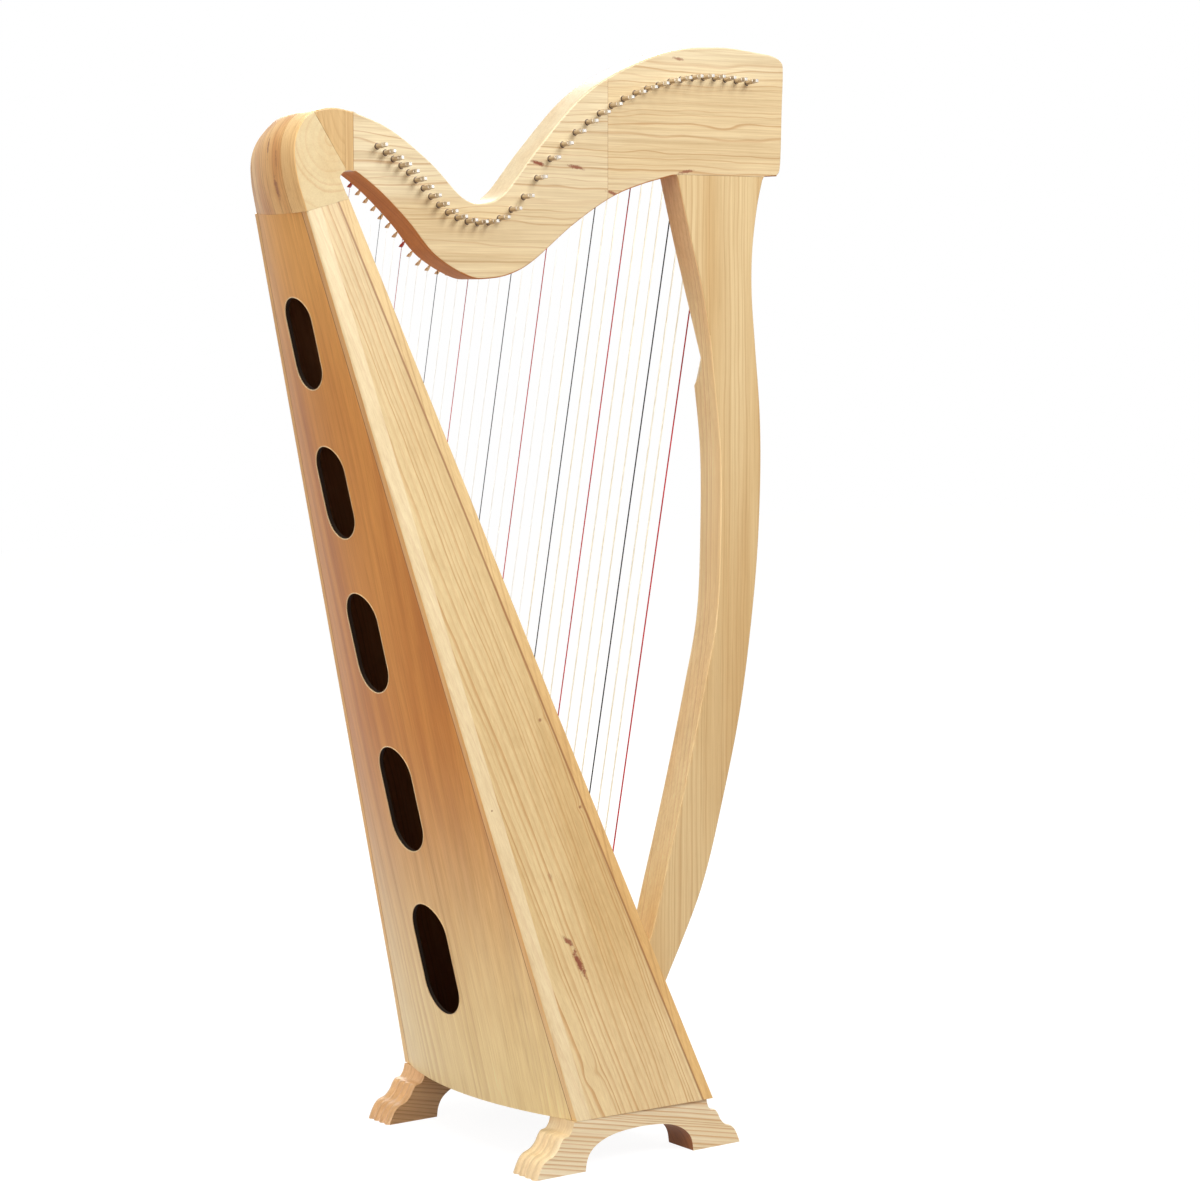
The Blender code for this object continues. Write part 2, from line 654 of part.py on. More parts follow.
def lever_plate(bm, place, slope):
    # An octagonal plate along the string, let a little into the neck
    along = Vector((slope, 0, 1)).normalized()
    across = Vector((along.z, 0, -along.x))
    half, reach = PLATE_HALF
    outline = [across * (x * half) + along * (z * reach) for x, z in PLATE_OUTLINE]
    loft_into(bm, [[place + p + Vector((0, y, 0)) for p in outline]
                   for y in (NECK_LEFT - PLATE_IN, NECK_LEFT + PLATE)])


def make_neck():
    top = spline(NECK_TOP, 3)
    lip = [Vector((LIP_X, LIP_Z)), Vector((LIP_X, CAP_Z + GAP))]
    belly = spline(NECK_BELLY, 3)
    belly[0] = belly[0] + Vector((0, GAP))
    outline = top + lip + belly
    first_square = len(top)
    square = {0, first_square, first_square + 1, first_square + 2, len(outline) - 1}
    outline[0] = Vector((JOINT_X + GAP, NECK_TOP[0][1]))
    outline[-1] = Vector((JOINT_X + GAP, NECK_BELLY[-1][1]))
    neck = loft("neck", rounded_slab(outline, square, RIGHT_FACE, NECK_LEFT, NECK_ROUND), ASH)
    bm = bmesh.new()
    for number in range(1, STRINGS + 1):
        tuning_pin(bm, PINS[number])
        rod(bm, bridge_place(number), BRIDGE_RADIUS, 6, NECK_LEFT - LET_IN, BRIDGE_END)
        lever_plate(bm, pivot_place(number), LINES[number][1])
    hardware = new_object("pins_and_plates", to_mesh("pins_and_plates", bm), BRASS, CUTTERS)
    combine(neck, hardware, "UNION")


def make_pillar():
    board_x = BOARD_INSET - GAP
    front = spline(PILLAR_FRONT, 3)
    rear = spline(PILLAR_REAR, 3)
    outline = front + rear
    square = {0, len(front) - 1, len(front), len(outline) - 1}
    for index in (len(front) - 1, len(front)):
        z = outline[index].y
        share = (z - SOLE_FRONT.z) / (SEAM_FRONT.z - SOLE_FRONT.z)
        outline[index] = Vector((box_edge("front", board_x, share).x, z))
    pillar = loft("pillar", rounded_slab(outline, square, RIGHT_FACE, PILLAR_LEFT, PILLAR_ROUND), ASH)
    rings = []
    for z, rear_x, rear_y, depth in NOTCH:
        run = Vector((depth, PILLAR_LEFT - rear_y)).normalized() * NOTCH_BEYOND
        rings.append([Vector((rear_x - run.x, rear_y - run.y, z)),
                      Vector((rear_x + depth + run.x, PILLAR_LEFT + run.y, z)),
                      Vector((rear_x - NOTCH_BEYOND, PILLAR_LEFT + NOTCH_BEYOND, z))])
    combine(pillar, loft("notch_cutter", rings, ASH, CUTTERS), "DIFFERENCE")


# Strings, fused to the rib that anchors them

def make_string_rib():
    def ring(share):
        half = mix(*RIB_HALF, share)
        low, high = box_edge("front", BOARD_INSET - GAP, share), box_edge("front", -RIB, share)
        return [Vector((p.x, y, p.z)) for p, y in ((low, -half), (low, half), (high, half), (high, -half))]

    rib = loft("string_rib", [ring(RIB_FOOT), ring(RIB_HEAD)], AMBER)
    bm = bmesh.new()
    lean = (SOLE_FRONT.x - SEAM_FRONT.x) / (SEAM_FRONT.z - SOLE_FRONT.z)
    for number in range(1, STRINGS + 1):
        foot, slope = LINES[number]
        radius = string_radius(number)
        low_z = (SOLE_FRONT.x + EYELET + lean * SOLE_FRONT.z - foot.x + slope * foot.z) / (slope + lean)
        bend_z = bridge_place(number).z
        pin = PINS[number]
        top_z = pin.y + RIGHT_FACE * math.tan(PIN_TILT)
        stations = ((string_x(number, low_z), low_z), (string_x(number, bend_z), bend_z),
                    (pin.x + PIN_RADIUS + GAP + radius * WIND, top_z))
        ring_points = [(radius * math.cos(math.pi * i / 3), radius * math.sin(math.pi * i / 3))
                       for i in range(6)]
        loft_into(bm, [[Vector((px + x, y, pz)) for x, y in ring_points] for px, pz in stations])
    strings = new_object("strings", to_mesh("strings", bm), GUT, CUTTERS)
    combine(rib, strings, "UNION")


# Sharping levers

def lever_mesh():
    bm = bmesh.new()
    rod(bm, Vector((0, 0, 0)), HUB_RADIUS, 8, NECK_LEFT + PLATE + GAP, HUB_TOP)
    lever = new_object("lever", to_mesh("lever", bm), BRASS, CUTTERS)
    out = Vector((math.cos(LEVER_REST), 0, math.sin(LEVER_REST)))
    side = Vector((-out.z, 0, out.x))
    rings = []
    for reach, half, near, far in HANDLE:
        corners = ((-1, near), (1, near), (HANDLE_CREST, far), (-HANDLE_CREST, far))
        rings.append([out * reach + side * (half * s) + Vector((0, y, 0)) for s, y in corners])
    combine(lever, loft("lever_handle", rings, BRASS, CUTTERS), "UNION")
    # The cam faces its string, square to it, when the handle is turned up
    cam_angle = CAM_FACES - LEVER_TRAVEL
    cam_out = Vector((math.cos(cam_angle), 0, math.sin(cam_angle)))
    cam_side = Vector((-cam_out.z, 0, cam_out.x))
    outline = [cam_out * r + cam_side * s for r, s in CAM]
    cam = loft("lever_cam", [[p + Vector((0, y, 0)) for p in outline] for y in CAM_SIDES],
               BRASS, CUTTERS)
    combine(lever, cam, "UNION")
    bpy.context.view_layer.update()
    graph = bpy.context.evaluated_depsgraph_get()
    return bpy.data.meshes.new_from_object(lever.evaluated_get(graph))


def make_levers():
    master = lever_mesh()
    for number in range(1, STRINGS + 1):
        mesh = master.copy()
        red = number % 7 == 1
        colour = RED if red else BRASS
        lever = new_object(f"lever_{number:02d}", mesh, colour, roughness=0.3,
                           metallic=0.0 if red else 1.0)
        lever.location = pivot_place(number)


# Feet

def make_foot(name, hand):
    slices = 3 * TOES
    arch = spline(ARCH, 2)

    def ring(share):
        toe_width = abs(math.sin(math.pi * TOES * share))
        groove = GROOVE * (1 - toe_width)
        back = [Vector((FOOT_BACK - reach + groove * grooved, z)) for reach, z, grooved in TOE]
        front = [Vector((FOOT_FRONT + reach * FRONT_TOE - groove * grooved, z)) for reach, z, grooved in TOE]
        outline = back + arch + front[::-1]
        y = hand * (FOOT_OUTER[hand] - FOOT_WIDTH * (1 - share))
        return [Vector((p.x, y, p.y)) for p in outline]

    return loft(name, [ring(i / slices) for i in range(slices + 1)], ASH)


make_side_board("side_board_right", -1)
make_side_board("side_board_left", 1)
make_front_rail("front_rail_right", -1)
make_front_rail("front_rail_left", 1)
make_soundboard()
make_inner_rib()
make_back_panel()
make_base_block()
make_braces()
make_shoulder()
make_neck()
make_pillar()
make_string_rib()
make_levers()
make_foot("foot_right", -1)
make_foot("foot_left", 1)

for piece in HARP.objects:
    piece.location += FRAME_SHIFT
for cutter in CUTTERS.objects:
    cutter.location += FRAME_SHIFT
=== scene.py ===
# Lever harp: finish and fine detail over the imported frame. Lengths are in metres.
# Shapes are drawn with the strings in the plane y = 0 and moved by shift as they are made.

import math

import bmesh
import bpy
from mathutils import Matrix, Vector


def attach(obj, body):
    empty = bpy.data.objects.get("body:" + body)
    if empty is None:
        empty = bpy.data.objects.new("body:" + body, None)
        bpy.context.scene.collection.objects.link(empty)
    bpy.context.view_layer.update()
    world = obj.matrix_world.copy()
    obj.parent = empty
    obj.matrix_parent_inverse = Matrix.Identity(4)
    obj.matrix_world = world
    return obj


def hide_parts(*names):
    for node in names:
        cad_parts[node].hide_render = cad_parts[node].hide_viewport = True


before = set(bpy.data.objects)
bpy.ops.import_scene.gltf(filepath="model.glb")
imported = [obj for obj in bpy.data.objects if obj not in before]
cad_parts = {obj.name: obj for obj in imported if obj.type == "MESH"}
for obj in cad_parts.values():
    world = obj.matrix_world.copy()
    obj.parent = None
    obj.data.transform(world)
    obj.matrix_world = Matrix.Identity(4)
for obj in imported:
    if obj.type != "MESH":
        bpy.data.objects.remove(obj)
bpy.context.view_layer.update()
scene = bpy.context.scene
shift = Vector((-0.0043, -0.0050, 0))  # same shift as the solids have
sideways = Vector((0, 1, 0))           # from the player's right to the left
print("frame loaded with", len(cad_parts), "nodes")


# Small helpers

def mix(a, b, share):
    return a + (b - a) * share


def curveThrough(points, steps):
    # Catmull-Rom curve that keeps its end points; a point may have any number of values
    keys = [Vector(p) for p in points]
    keys = [2 * keys[0] - keys[1]] + keys + [2 * keys[-1] - keys[-2]]
    curve = []
    for a, b, c, d in zip(keys, keys[1:], keys[2:], keys[3:]):
        for step in range(steps):
            u = step / steps
            curve.append(0.5 * (2 * b + (c - a) * u + (2 * a - 5 * b + 4 * c - d) * u * u
                                + (3 * b - a - 3 * c + d) * u ** 3))
    curve.append(keys[-2])
    return curve


def quarterTurn(count):
    return [math.pi / 2 * i / count for i in range(count + 1)]


def skin(name, rings):
    # Closed skin over rings that all have the same number of points
    bm = bmesh.new()
    rows = [[bm.verts.new(p) for p in ring] for ring in rings]
    count = len(rings[0])
    for low, high in zip(rows, rows[1:]):
        for i in range(count):
            j = (i + 1) % count
            bm.faces.new((low[i], low[j], high[j], high[i]))
    bm.faces.new(rows[0][::-1])
    bm.faces.new(rows[-1])
    return toMesh(name, bm)


def toMesh(name, bm):
    bmesh.ops.recalc_face_normals(bm, faces=bm.faces)
    mesh = bpy.data.meshes.new(name)
    bm.to_mesh(mesh)
    bm.free()
    return mesh


def joined(name, meshes):
    bm = bmesh.new()
    for mesh in meshes:
        bm.from_mesh(mesh)
    return toMesh(name, bm)


def placed(name, data):
    obj = bpy.data.objects.new(name, data)
    scene.collection.objects.link(obj)
    return obj


def applied(mesh, kind, inputs=(), **settings):
    # What a modifier makes of a mesh, as a plain mesh; inputs are a node tree's, by identifier
    obj = placed("work", mesh)
    modifier = obj.modifiers.new("work", kind)
    for key, value in settings.items():
        setattr(modifier, key, value)
    for identifier, value in inputs:
        modifier[identifier] = value
    bpy.context.view_layer.update()
    made = bpy.data.meshes.new_from_object(obj.evaluated_get(bpy.context.evaluated_depsgraph_get()))
    bpy.data.objects.remove(obj)
    return made


def carve(mesh, cutter, operation):
    tool = placed("cutter", cutter)
    made = applied(mesh, "BOOLEAN", operation=operation, object=tool, solver="EXACT")
    bpy.data.objects.remove(tool)
    return made


def prism(outline, lowY, highY):
    return skin("prism", [[Vector((x, y, z)) for x, z in outline] for y in (lowY, highY)])


def turned(name, profile, sides):
    # Lathe along local Z: the profile is a list of radius and height
    rings = [[Vector((r * math.cos(2 * math.pi * i / sides), r * math.sin(2 * math.pi * i / sides), z))
              for i in range(sides)] for r, z in profile]
    return skin(name, rings)


def giveFinishes(mesh, finishes):
    # Clearing the slots would send every face back to the first one
    places = [face.material_index for face in mesh.polygons]
    mesh.materials.clear()
    for finish in finishes:
        mesh.materials.append(finish)
    mesh.polygons.foreach_set("material_index", [min(place, len(finishes) - 1) for place in places])


def addPiece(name, mesh, finishes, body="frame", stands=(), keen=40, even=True):
    # Edges sharper than keen stay sharp; even makes the shading follow the large faces
    for vertex in mesh.vertices:
        vertex.co += shift
    giveFinishes(mesh, finishes)
    mesh.shade_smooth()
    mesh.set_sharp_from_angle(angle=math.radians(keen))
    if even:
        mesh = applied(mesh, "WEIGHTED_NORMAL", keep_sharp=True, weight=100)
    mesh.name = name
    obj = placed(name, mesh)
    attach(obj, body)
    if stands:
        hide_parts(*stands)


def facing(mesh, axis, limit, index):
    # Gives faces that look along an axis by more than the limit another finish of the piece
    for face in mesh.polygons:
        if face.normal.dot(Vector(axis)) > limit:
            face.material_index = index


# Finishes

def paint(red, green, blue):
    # Screen colour from 0 to 255 as the shader wants it
    def lift(value):
        value /= 255
        return value / 12.92 if value <= 0.04045 else ((value + 0.055) / 1.055) ** 2.4
    return lift(red), lift(green), lift(blue), 1.0


class Nodes:
    # Short hand for placing, setting and joining the nodes of a tree

    def __init__(self, tree):
        self.tree = tree
        self.count = 0

    def node(self, kind, feeds=(), **settings):
        made = self.tree.nodes.new(kind)
        made.location = (200 * (self.count % 12) - 2600, -220 * (self.count // 12))
        self.count += 1
        for key, value in settings.items():
            setattr(made, key, value)
        for socket, value in dict(feeds).items():
            self.feed(made.inputs[socket], value)
        return made

    def feed(self, socket, value):
        if hasattr(value, "is_linked"):
            self.tree.links.new(value, socket)
        else:
            socket.default_value = value

    def calc(self, operation, a, b=0.0):
        return self.node("ShaderNodeMath", {0: a, 1: b}, operation=operation).outputs[0]

    def plus(self, a, b):
        return self.calc("ADD", a, b)

    def minus(self, a, b):
        return self.calc("SUBTRACT", a, b)

    def times(self, a, b):
        return self.calc("MULTIPLY", a, b)

    def blend(self, share, a, b, kind="MIX"):
        feeds = {"Factor": share, "A": a, "B": b}
        return self.node("ShaderNodeMix", feeds, data_type="RGBA", blend_type=kind).outputs["Result"]


class Shader(Nodes):
    # The nodes of one material, with what its patterns are made of

    def __init__(self, name):
        self.material = bpy.data.materials.new(name)
        self.material.use_nodes = True
        super().__init__(self.material.node_tree)
        self.surface = self.tree.nodes["Principled BSDF"]

    def place(self):
        return self.node("ShaderNodeTexCoord").outputs["Object"]

    def dress(self, values):
        for name, value in values.items():
            self.feed(self.surface.inputs[name], value)
        return self.material

    def mapped(self, source, kind="POINT", **values):
        return self.node("ShaderNodeMapping", {"Vector": source, **values}, vector_type=kind).outputs[0]

    def vector(self, operation, a, b=(0, 0, 0), out="Vector"):
        return self.node("ShaderNodeVectorMath", {0: a, 1: b}, operation=operation).outputs[out]

    def axis(self, source, name):
        return self.node("ShaderNodeSeparateXYZ", {0: source}).outputs[name]

    def cloud(self, source, scale, detail=2.0, rough=0.5):
        feeds = {"Vector": source, "Scale": scale, "Detail": detail, "Roughness": rough}
        return self.node("ShaderNodeTexNoise", feeds).outputs["Fac"]

    def along(self, grain, length, width, detail=2.0, rough=0.5):
        # Cloud that is finer across the grain than along it
        return self.cloud(self.mapped(grain, Scale=(length, width, width)), 1.0, detail, rough)

    def flicker(self, value, scale):
        feeds = {"W": value, "Scale": scale}
        return self.node("ShaderNodeTexNoise", feeds, noise_dimensions="1D").outputs["Fac"]

    def ramp(self, value, low, high, kind="SMOOTHSTEP"):
        feeds = {"Value": value, "From Min": low, "From Max": high}
        return self.node("ShaderNodeMapRange", feeds, interpolation_type=kind).outputs["Result"]

    def beyond(self, place, plane):
        # How far a place lies in front of a plane, given by its normal and offset
        normal, offset = plane
        return self.minus(self.vector("DOT_PRODUCT", place, normal, "Value"), offset)

    def stain(self, colour, amount, share, tone):
        return self.blend(self.times(amount, share), colour, paint(*tone))

    def relief(self, height, strength, depth):
        feeds = {"Height": height, "Strength": strength, "Distance": depth}
        self.dress({"Normal": self.node("ShaderNodeBump", feeds).outputs[0]})


woodLook = {
    "pale": (232, 218, 180),           # early wood
    "warm": (217, 191, 143),           # broad warmer bands
    "line": (184, 134, 70),            # late wood lines
    "lineDepth": 0.55,
    "lineFrom": 0.45,                  # share of a ring where its late wood sets in, and is darkest
    "linePeak": 0.90,
    "rings": 165,                      # growth rings in a metre
    "heart": (0.06, 0.22),             # where the log's heart lies, across the grain
    "tilt": (0.0, 0.0),                # how far the heart drifts in a metre along it
    "turn": (0, 0, 0),                 # brings the grain onto X
    "waver": 0.010,                    # how far the lines wander
    "vary": (0.25, 0.75),              # how unlike each other the lines are: lower is more even
    "lineNoise": 3.7,
    "spacing": (0.23, 3.0),            # pace and reach of the change in ring width
    "bands": 0.75,
    "bandWidth": 14.0,                 # more is narrower
    "bandEdges": (0.36, 0.66),
    "fibre": 0.20,
    "fibreScale": (9.0, 620.0, 3.0, 0.62),   # along and across the grain, detail, roughness
    "streakScale": (2.6, 120.0),
    "sheenScale": (16.0, 24.0),
    "poreScale": (60.0, 2600.0, 1.0),
    "poreEdges": (0.64, 0.74),
    "poreDepth": 0.10,
    "sheenDepth": 0.10,
    "hueShift": (0.75, 1.0, 1.35),     # dark fibres turn redder, pale ones bluer
    "gloss": 0.38,
    "coat": 0.22,
    "bump": 0.10,
    "bumpDepth": 0.0004,
    "splice": None,                    # plane across X where another board begins, and its offset
    "knots": (),                       # places, sizes and how far they push the rings
    "knotCore": (0.45, 0.12),          # share of the size where a knot darkens, and is darkest
    "knotTone": (140, 76, 40),
    "bareKnot": 0.010,                 # a knot larger than this only bends the rings
    "marks": (),                       # mineral streaks: place, turn, half sizes, depth
    "markTone": (140, 72, 38),
    "markEdges": (1.65, 1.05),
    "ragged": (210.0, 1.5),            # scale and reach of the marks' uneven edges
    "fades": (),                       # heights between which the wood goes over to a colour
    "seams": (),                       # planes where the finish pools in a joint, and half width
    "seamTone": (150, 92, 42),
    "seamCore": 0.35,                  # share of the half width that is darkest
    "deep": 0.75,                      # how much of their colour knots and seams show
    "strips": (),                      # plane, how far behind it the strip starts and ends, colour, share
    "stripEdge": 0.0006,
}
# Turns that bring the grain of upright wood, and of wood along the box, onto X
upright, alongBack, alongSide, alongFront = (0, 90, 0), (0, 105, 0), (0, 109, 0), (0, 111, 0)


def planeThrough(a, b, c):
    # Normal and offset of the plane through three drawn points, as the moved piece has it
    normal = (b - a).cross(c - a).normalized()
    return tuple(normal), normal.dot(a + shift)


def wood(name, **changes):
    look = {**woodLook, **changes}
    s = Shader(name)
    place = s.place()
    grain = s.mapped(place, Rotation=[math.radians(a) for a in look["turn"]])
    if look["splice"]:
        at, offset = look["splice"]
        other = s.calc("GREATER_THAN", s.axis(place, "X"), at)
        grain = s.vector("ADD", grain, s.vector("MULTIPLY", other, offset))

    # Distance from the heart of the log, wandering a little along the board
    squares = []
    for axis, heart, tilt, scale, reach in (("Y", look["heart"][0], look["tilt"][0], (1.6, 6.0, 1.0), 4),
                                            ("Z", look["heart"][1], look["tilt"][1], (7.0, 26.0, 2.0), 1)):
        drift = s.times(s.minus(s.along(grain, *scale), 0.5), look["waver"] * reach)
        leg = s.plus(s.minus(s.axis(grain, axis), heart), drift)
        leg = s.minus(leg, s.times(s.axis(grain, "X"), tilt))
        squares.append(s.times(leg, leg))
    radius = s.calc("SQRT", s.plus(*squares))
    knotShade = 0.0
    for spot, size, push in look["knots"]:
        away = s.vector("DISTANCE", place, Vector(spot) + shift, "Value")
        near = s.calc("EXPONENT", s.times(s.calc("POWER", s.calc("DIVIDE", away, size), 2.0), -1.0))
        radius = s.plus(radius, s.times(near, push))
        if size <= look["bareKnot"]:
            core = s.ramp(away, *[size * share for share in look["knotCore"]])
            knotShade = s.calc("MAXIMUM", core, knotShade)
    count = s.times(radius, look["rings"])
    pace, change = look["spacing"]
    count = s.plus(count, s.times(s.flicker(s.times(count, pace), 1.0), change))
    saw = s.calc("FRACT", count)
    peak = look["linePeak"]
    ring = s.times(s.ramp(saw, look["lineFrom"], peak), s.ramp(saw, 1.0, peak))
    ring = s.times(ring, s.ramp(s.flicker(s.calc("FLOOR", count), look["lineNoise"]), *look["vary"]))

    # Colour from broad bands, rings, fibres and fine pores
    broad = s.ramp(s.along(grain, 1.1, look["bandWidth"]), *look["bandEdges"])
    fibre = s.along(grain, *look["fibreScale"])
    pores = s.ramp(s.along(grain, *look["poreScale"]), *look["poreEdges"])
    colour = s.stain(paint(*look["pale"]), broad, look["bands"], look["warm"])
    for start, end, tone, share in look["fades"]:
        colour = s.stain(colour, s.ramp(s.axis(place, "Z"), start, end), share, tone)
    colour = s.stain(colour, ring, look["lineDepth"], look["line"])
    edge = look["stripEdge"]
    for plane, start, end, tone, share in look["strips"]:
        behind = s.beyond(place, plane)
        inside = s.times(s.ramp(behind, start - edge, start + edge), s.ramp(behind, end + edge, end - edge))
        colour = s.stain(colour, inside, share, tone)
    shade = s.minus(1.0, s.times(pores, look["poreDepth"]))
    for pattern, depth in ((fibre, look["fibre"] * 2.2),
                           (s.along(grain, *look["streakScale"]), look["fibre"] * 1.6),
                           (s.along(grain, *look["sheenScale"]), look["sheenDepth"])):
        shade = s.plus(shade, s.times(s.minus(pattern, 0.5), depth))
    tint = s.node("ShaderNodeCombineColor",
                  {i: s.calc("POWER", shade, power) for i, power in enumerate(look["hueShift"])})
    colour = s.blend(1.0, colour, tint.outputs[0], "MULTIPLY")
    if look["knots"]:
        colour = s.stain(colour, knotShade, look["deep"], look["knotTone"])
    uneven, reach = look["ragged"]
    for spot, angles, sizes, depth in look["marks"]:
        inMark = s.mapped(place, "TEXTURE", Location=Vector(spot) + shift, Scale=sizes,
                          Rotation=[math.radians(a) for a in angles])
        span = s.vector("LENGTH", inMark, out="Value")
        span = s.plus(span, s.times(s.cloud(place, uneven, 3.0, 0.7), reach))
        colour = s.stain(colour, s.ramp(span, *look["markEdges"]), depth, look["markTone"])
    for plane, width in look["seams"]:
        pooled = s.ramp(s.calc("ABSOLUTE", s.beyond(place, plane)), width, width * look["seamCore"])
        colour = s.stain(colour, pooled, look["deep"], look["seamTone"])
    s.relief(s.plus(s.times(ring, 0.4), s.minus(fibre, pores)), look["bump"], look["bumpDepth"])
    return s.dress({"Base Color": colour, "Roughness": look["gloss"], "Coat Weight": look["coat"],
                    "Coat Roughness": 0.16, "IOR": 1.48})


def metal(name, colour, rough, brushed=0.0, wear=0.12, below=0.45):
    # Plated metal: below is how much the faces that look down are darkened towards a warm brown, a painted
    # shade on their undersides
    s = Shader(name)
    place = s.place()
    smear = s.cloud(place, 420.0, 3.0)
    tone = s.plus(s.times(s.minus(smear, 0.5), wear * 2), 1.0)
    body = s.blend(1.0, paint(*colour), tone, "MULTIPLY")
    upwards = s.axis(s.node("ShaderNodeNewGeometry").outputs["Normal"], "Z")
    if brushed:
        s.relief(s.along(place, 300.0, 3000.0), brushed, 0.0001)
    # Painted shade: faces that look down go over to a warm brown
    body = s.stain(body, s.ramp(upwards, 0.25, -0.75), below, (120, 78, 52))
    return s.dress({"Base Color": body, "Metallic": 1.0,
                    "Roughness": s.ramp(smear, -rough * 3, 1.0 + (1 - rough) * 3.0, "LINEAR")})


def mottled(name, colour, dark, grain, edges, values):
    # Even stuff with a slight change of tone
    s = Shader(name)
    tone = s.ramp(s.cloud(s.place(), *grain), *edges)
    return s.dress({"Base Color": s.blend(tone, paint(*colour), paint(*dark)), **values})


def stringStuff(name, colour, dark, gloss, clear=0.0, bend=1.45, shine=0.6):
    return mottled(name, colour, dark, (90.0, 2.0), (0.35, 0.7), {
        "Roughness": gloss, "Transmission Weight": clear, "IOR": bend, "Specular IOR Level": shine})


def enamel(name, colour, dark):
    return mottled(name, colour, dark, (260.0, 3.0), (0.4, 0.75), {
        "Roughness": 0.22, "Coat Weight": 0.6, "Coat Roughness": 0.08})


# Unfinished wood inside the box; its dark brown is partly its own colour, partly painted shade in the box
rawShadedWood = {"pale": (150, 106, 78), "warm": (130, 92, 66), "line": (102, 70, 50), "coat": 0.0, "gloss": 0.8}
innerWood = wood("innerSpruce", turn=alongFront, **rawShadedWood)
nickel = metal("pinNickel", (214, 203, 188), 0.26, below=0.30)
nickelTip = metal("pinTip", (218, 214, 208), 0.18, below=0.30)
brass = metal("leverBrass", (240, 206, 164), 0.22)
brassDull = metal("plateBrass", (188, 150, 90), 0.34, 0.15)
# Dark brown for the rings round the tuning pins: a painted shadow at each pin's base
pinShadowDark = enamel("pinShadowDark", (92, 62, 38), (70, 46, 28))
steel = metal("screwSteel", (176, 176, 178), 0.25)
redLever = enamel("leverRed", (196, 52, 40), (160, 32, 26))
clearString = stringStuff("stringClear", (252, 251, 246), (248, 244, 234), 0.28, 0.85, 1.2)
bassString = stringStuff("stringBass", (252, 248, 232), (244, 236, 212), 0.35, 0.65, 1.25)
redString = stringStuff("stringRed", (206, 34, 50), (180, 24, 38), 0.5, shine=0.15)
blackString = stringStuff("stringBlack", (44, 38, 46), (30, 26, 32), 0.5, shine=0.15)
print("finishes made:", len(bpy.data.materials))


# Geometry node trees for what repeats

def newTree(name, inputs):
    tree = bpy.data.node_groups.new(name, "GeometryNodeTree")
    tree.is_modifier = True
    for label, kind in (("Geometry", "Geometry"), *inputs, ("Finish", "Material")):
        tree.interface.new_socket(name=label, in_out="INPUT", socket_type="NodeSocket" + kind)
    tree.interface.new_socket(name="Geometry", in_out="OUTPUT", socket_type="NodeSocketGeometry")
    g = Nodes(tree)
    return g, g.node("NodeGroupInput").outputs


def finishTree(g, start, result):
    # Instances become real and take the finish
    real = g.node("GeometryNodeRealizeInstances", {"Geometry": result}).outputs[0]
    finished = g.node("GeometryNodeSetMaterial", {"Geometry": real, "Material": start["Finish"]})
    g.node("NodeGroupOutput", {"Geometry": finished.outputs[0]})
    return g.tree


def makeScatterTree():
    # One pattern piece on every point, turned by the point's own angles
    g, start = newTree("scatter", (("Pattern", "Object"),))
    pattern = g.node("GeometryNodeObjectInfo", {"Object": start["Pattern"]})
    angles = g.node("GeometryNodeInputNamedAttribute", {"Name": "turn"}, data_type="FLOAT_VECTOR")
    turn = g.node("FunctionNodeEulerToRotation", {0: angles.outputs["Attribute"]})
    copies = g.node("GeometryNodeInstanceOnPoints", {
        "Points": start["Geometry"], "Instance": pattern.outputs["Geometry"], "Rotation": turn.outputs[0]})
    return finishTree(g, start, copies.outputs["Instances"])


def makeWireTree():
    # A round wire along every edge path, as thick as the attribute gauge says
    g, start = newTree("wire", (("Sides", "Int"),))
    path = g.node("GeometryNodeMeshToCurve", {"Mesh": start["Geometry"]})
    thick = g.node("GeometryNodeInputNamedAttribute", {"Name": "gauge"}, data_type="FLOAT")
    ring = g.node("GeometryNodeCurvePrimitiveCircle", {"Radius": 1.0, "Resolution": start["Sides"]},
                  mode="RADIUS")
    tube = g.node("GeometryNodeCurveToMesh", {
        "Curve": path.outputs[0], "Profile Curve": ring.outputs["Curve"],
        "Scale": thick.outputs["Attribute"], "Fill Caps": True})
    return finishTree(g, start, tube.outputs["Mesh"])


def makeWindingTree():
    # A short coil of string round each point's Y axis
    g, start = newTree("winding", (("Turns", "Float"), ("Coil Radius", "Float"), ("Coil Length", "Float"),
                                   ("Wire Radius", "Float")))
    coil = g.node("GeometryNodeCurveSpiral", {
        "Resolution": 14, "Rotations": start["Turns"], "Height": start["Coil Length"],
        "Start Radius": start["Coil Radius"], "End Radius": start["Coil Radius"]})
    ring = g.node("GeometryNodeCurvePrimitiveCircle", {"Resolution": 6, "Radius": start["Wire Radius"]},
                  mode="RADIUS")
    tube = g.node("GeometryNodeCurveToMesh", {
        "Curve": coil.outputs["Curve"], "Profile Curve": ring.outputs["Curve"], "Fill Caps": True})
    laid = g.node("GeometryNodeTransform", {
        "Geometry": tube.outputs["Mesh"], "Rotation": (math.radians(90), 0, 0)})
    copies = g.node("GeometryNodeInstanceOnPoints", {
        "Points": start["Geometry"], "Instance": laid.outputs[0]})
    return finishTree(g, start, copies.outputs["Instances"])


def grow(name, mesh, tree, values, finish):
    # Runs a tree on a mesh and keeps the result as a plain piece
    values = {**values, "Finish": finish}
    inputs = [(item.identifier, values[item.name]) for item in tree.interface.items_tree
              if item.in_out == "INPUT" and item.name in values]
    addPiece(name, applied(mesh, "NODES", inputs, node_group=tree), (finish,), even=False)


def seeds(points, edges, label, kind, values):
    # Points or paths that carry one value each for a tree to read
    mesh = bpy.data.meshes.new("seeds")
    mesh.from_pydata([tuple(p) for p in points], edges, [])
    attribute = mesh.attributes.new(label, kind, "POINT")
    for item, value in zip(attribute.data, values):
        setattr(item, "vector" if kind == "FLOAT_VECTOR" else "value", value)
    return mesh


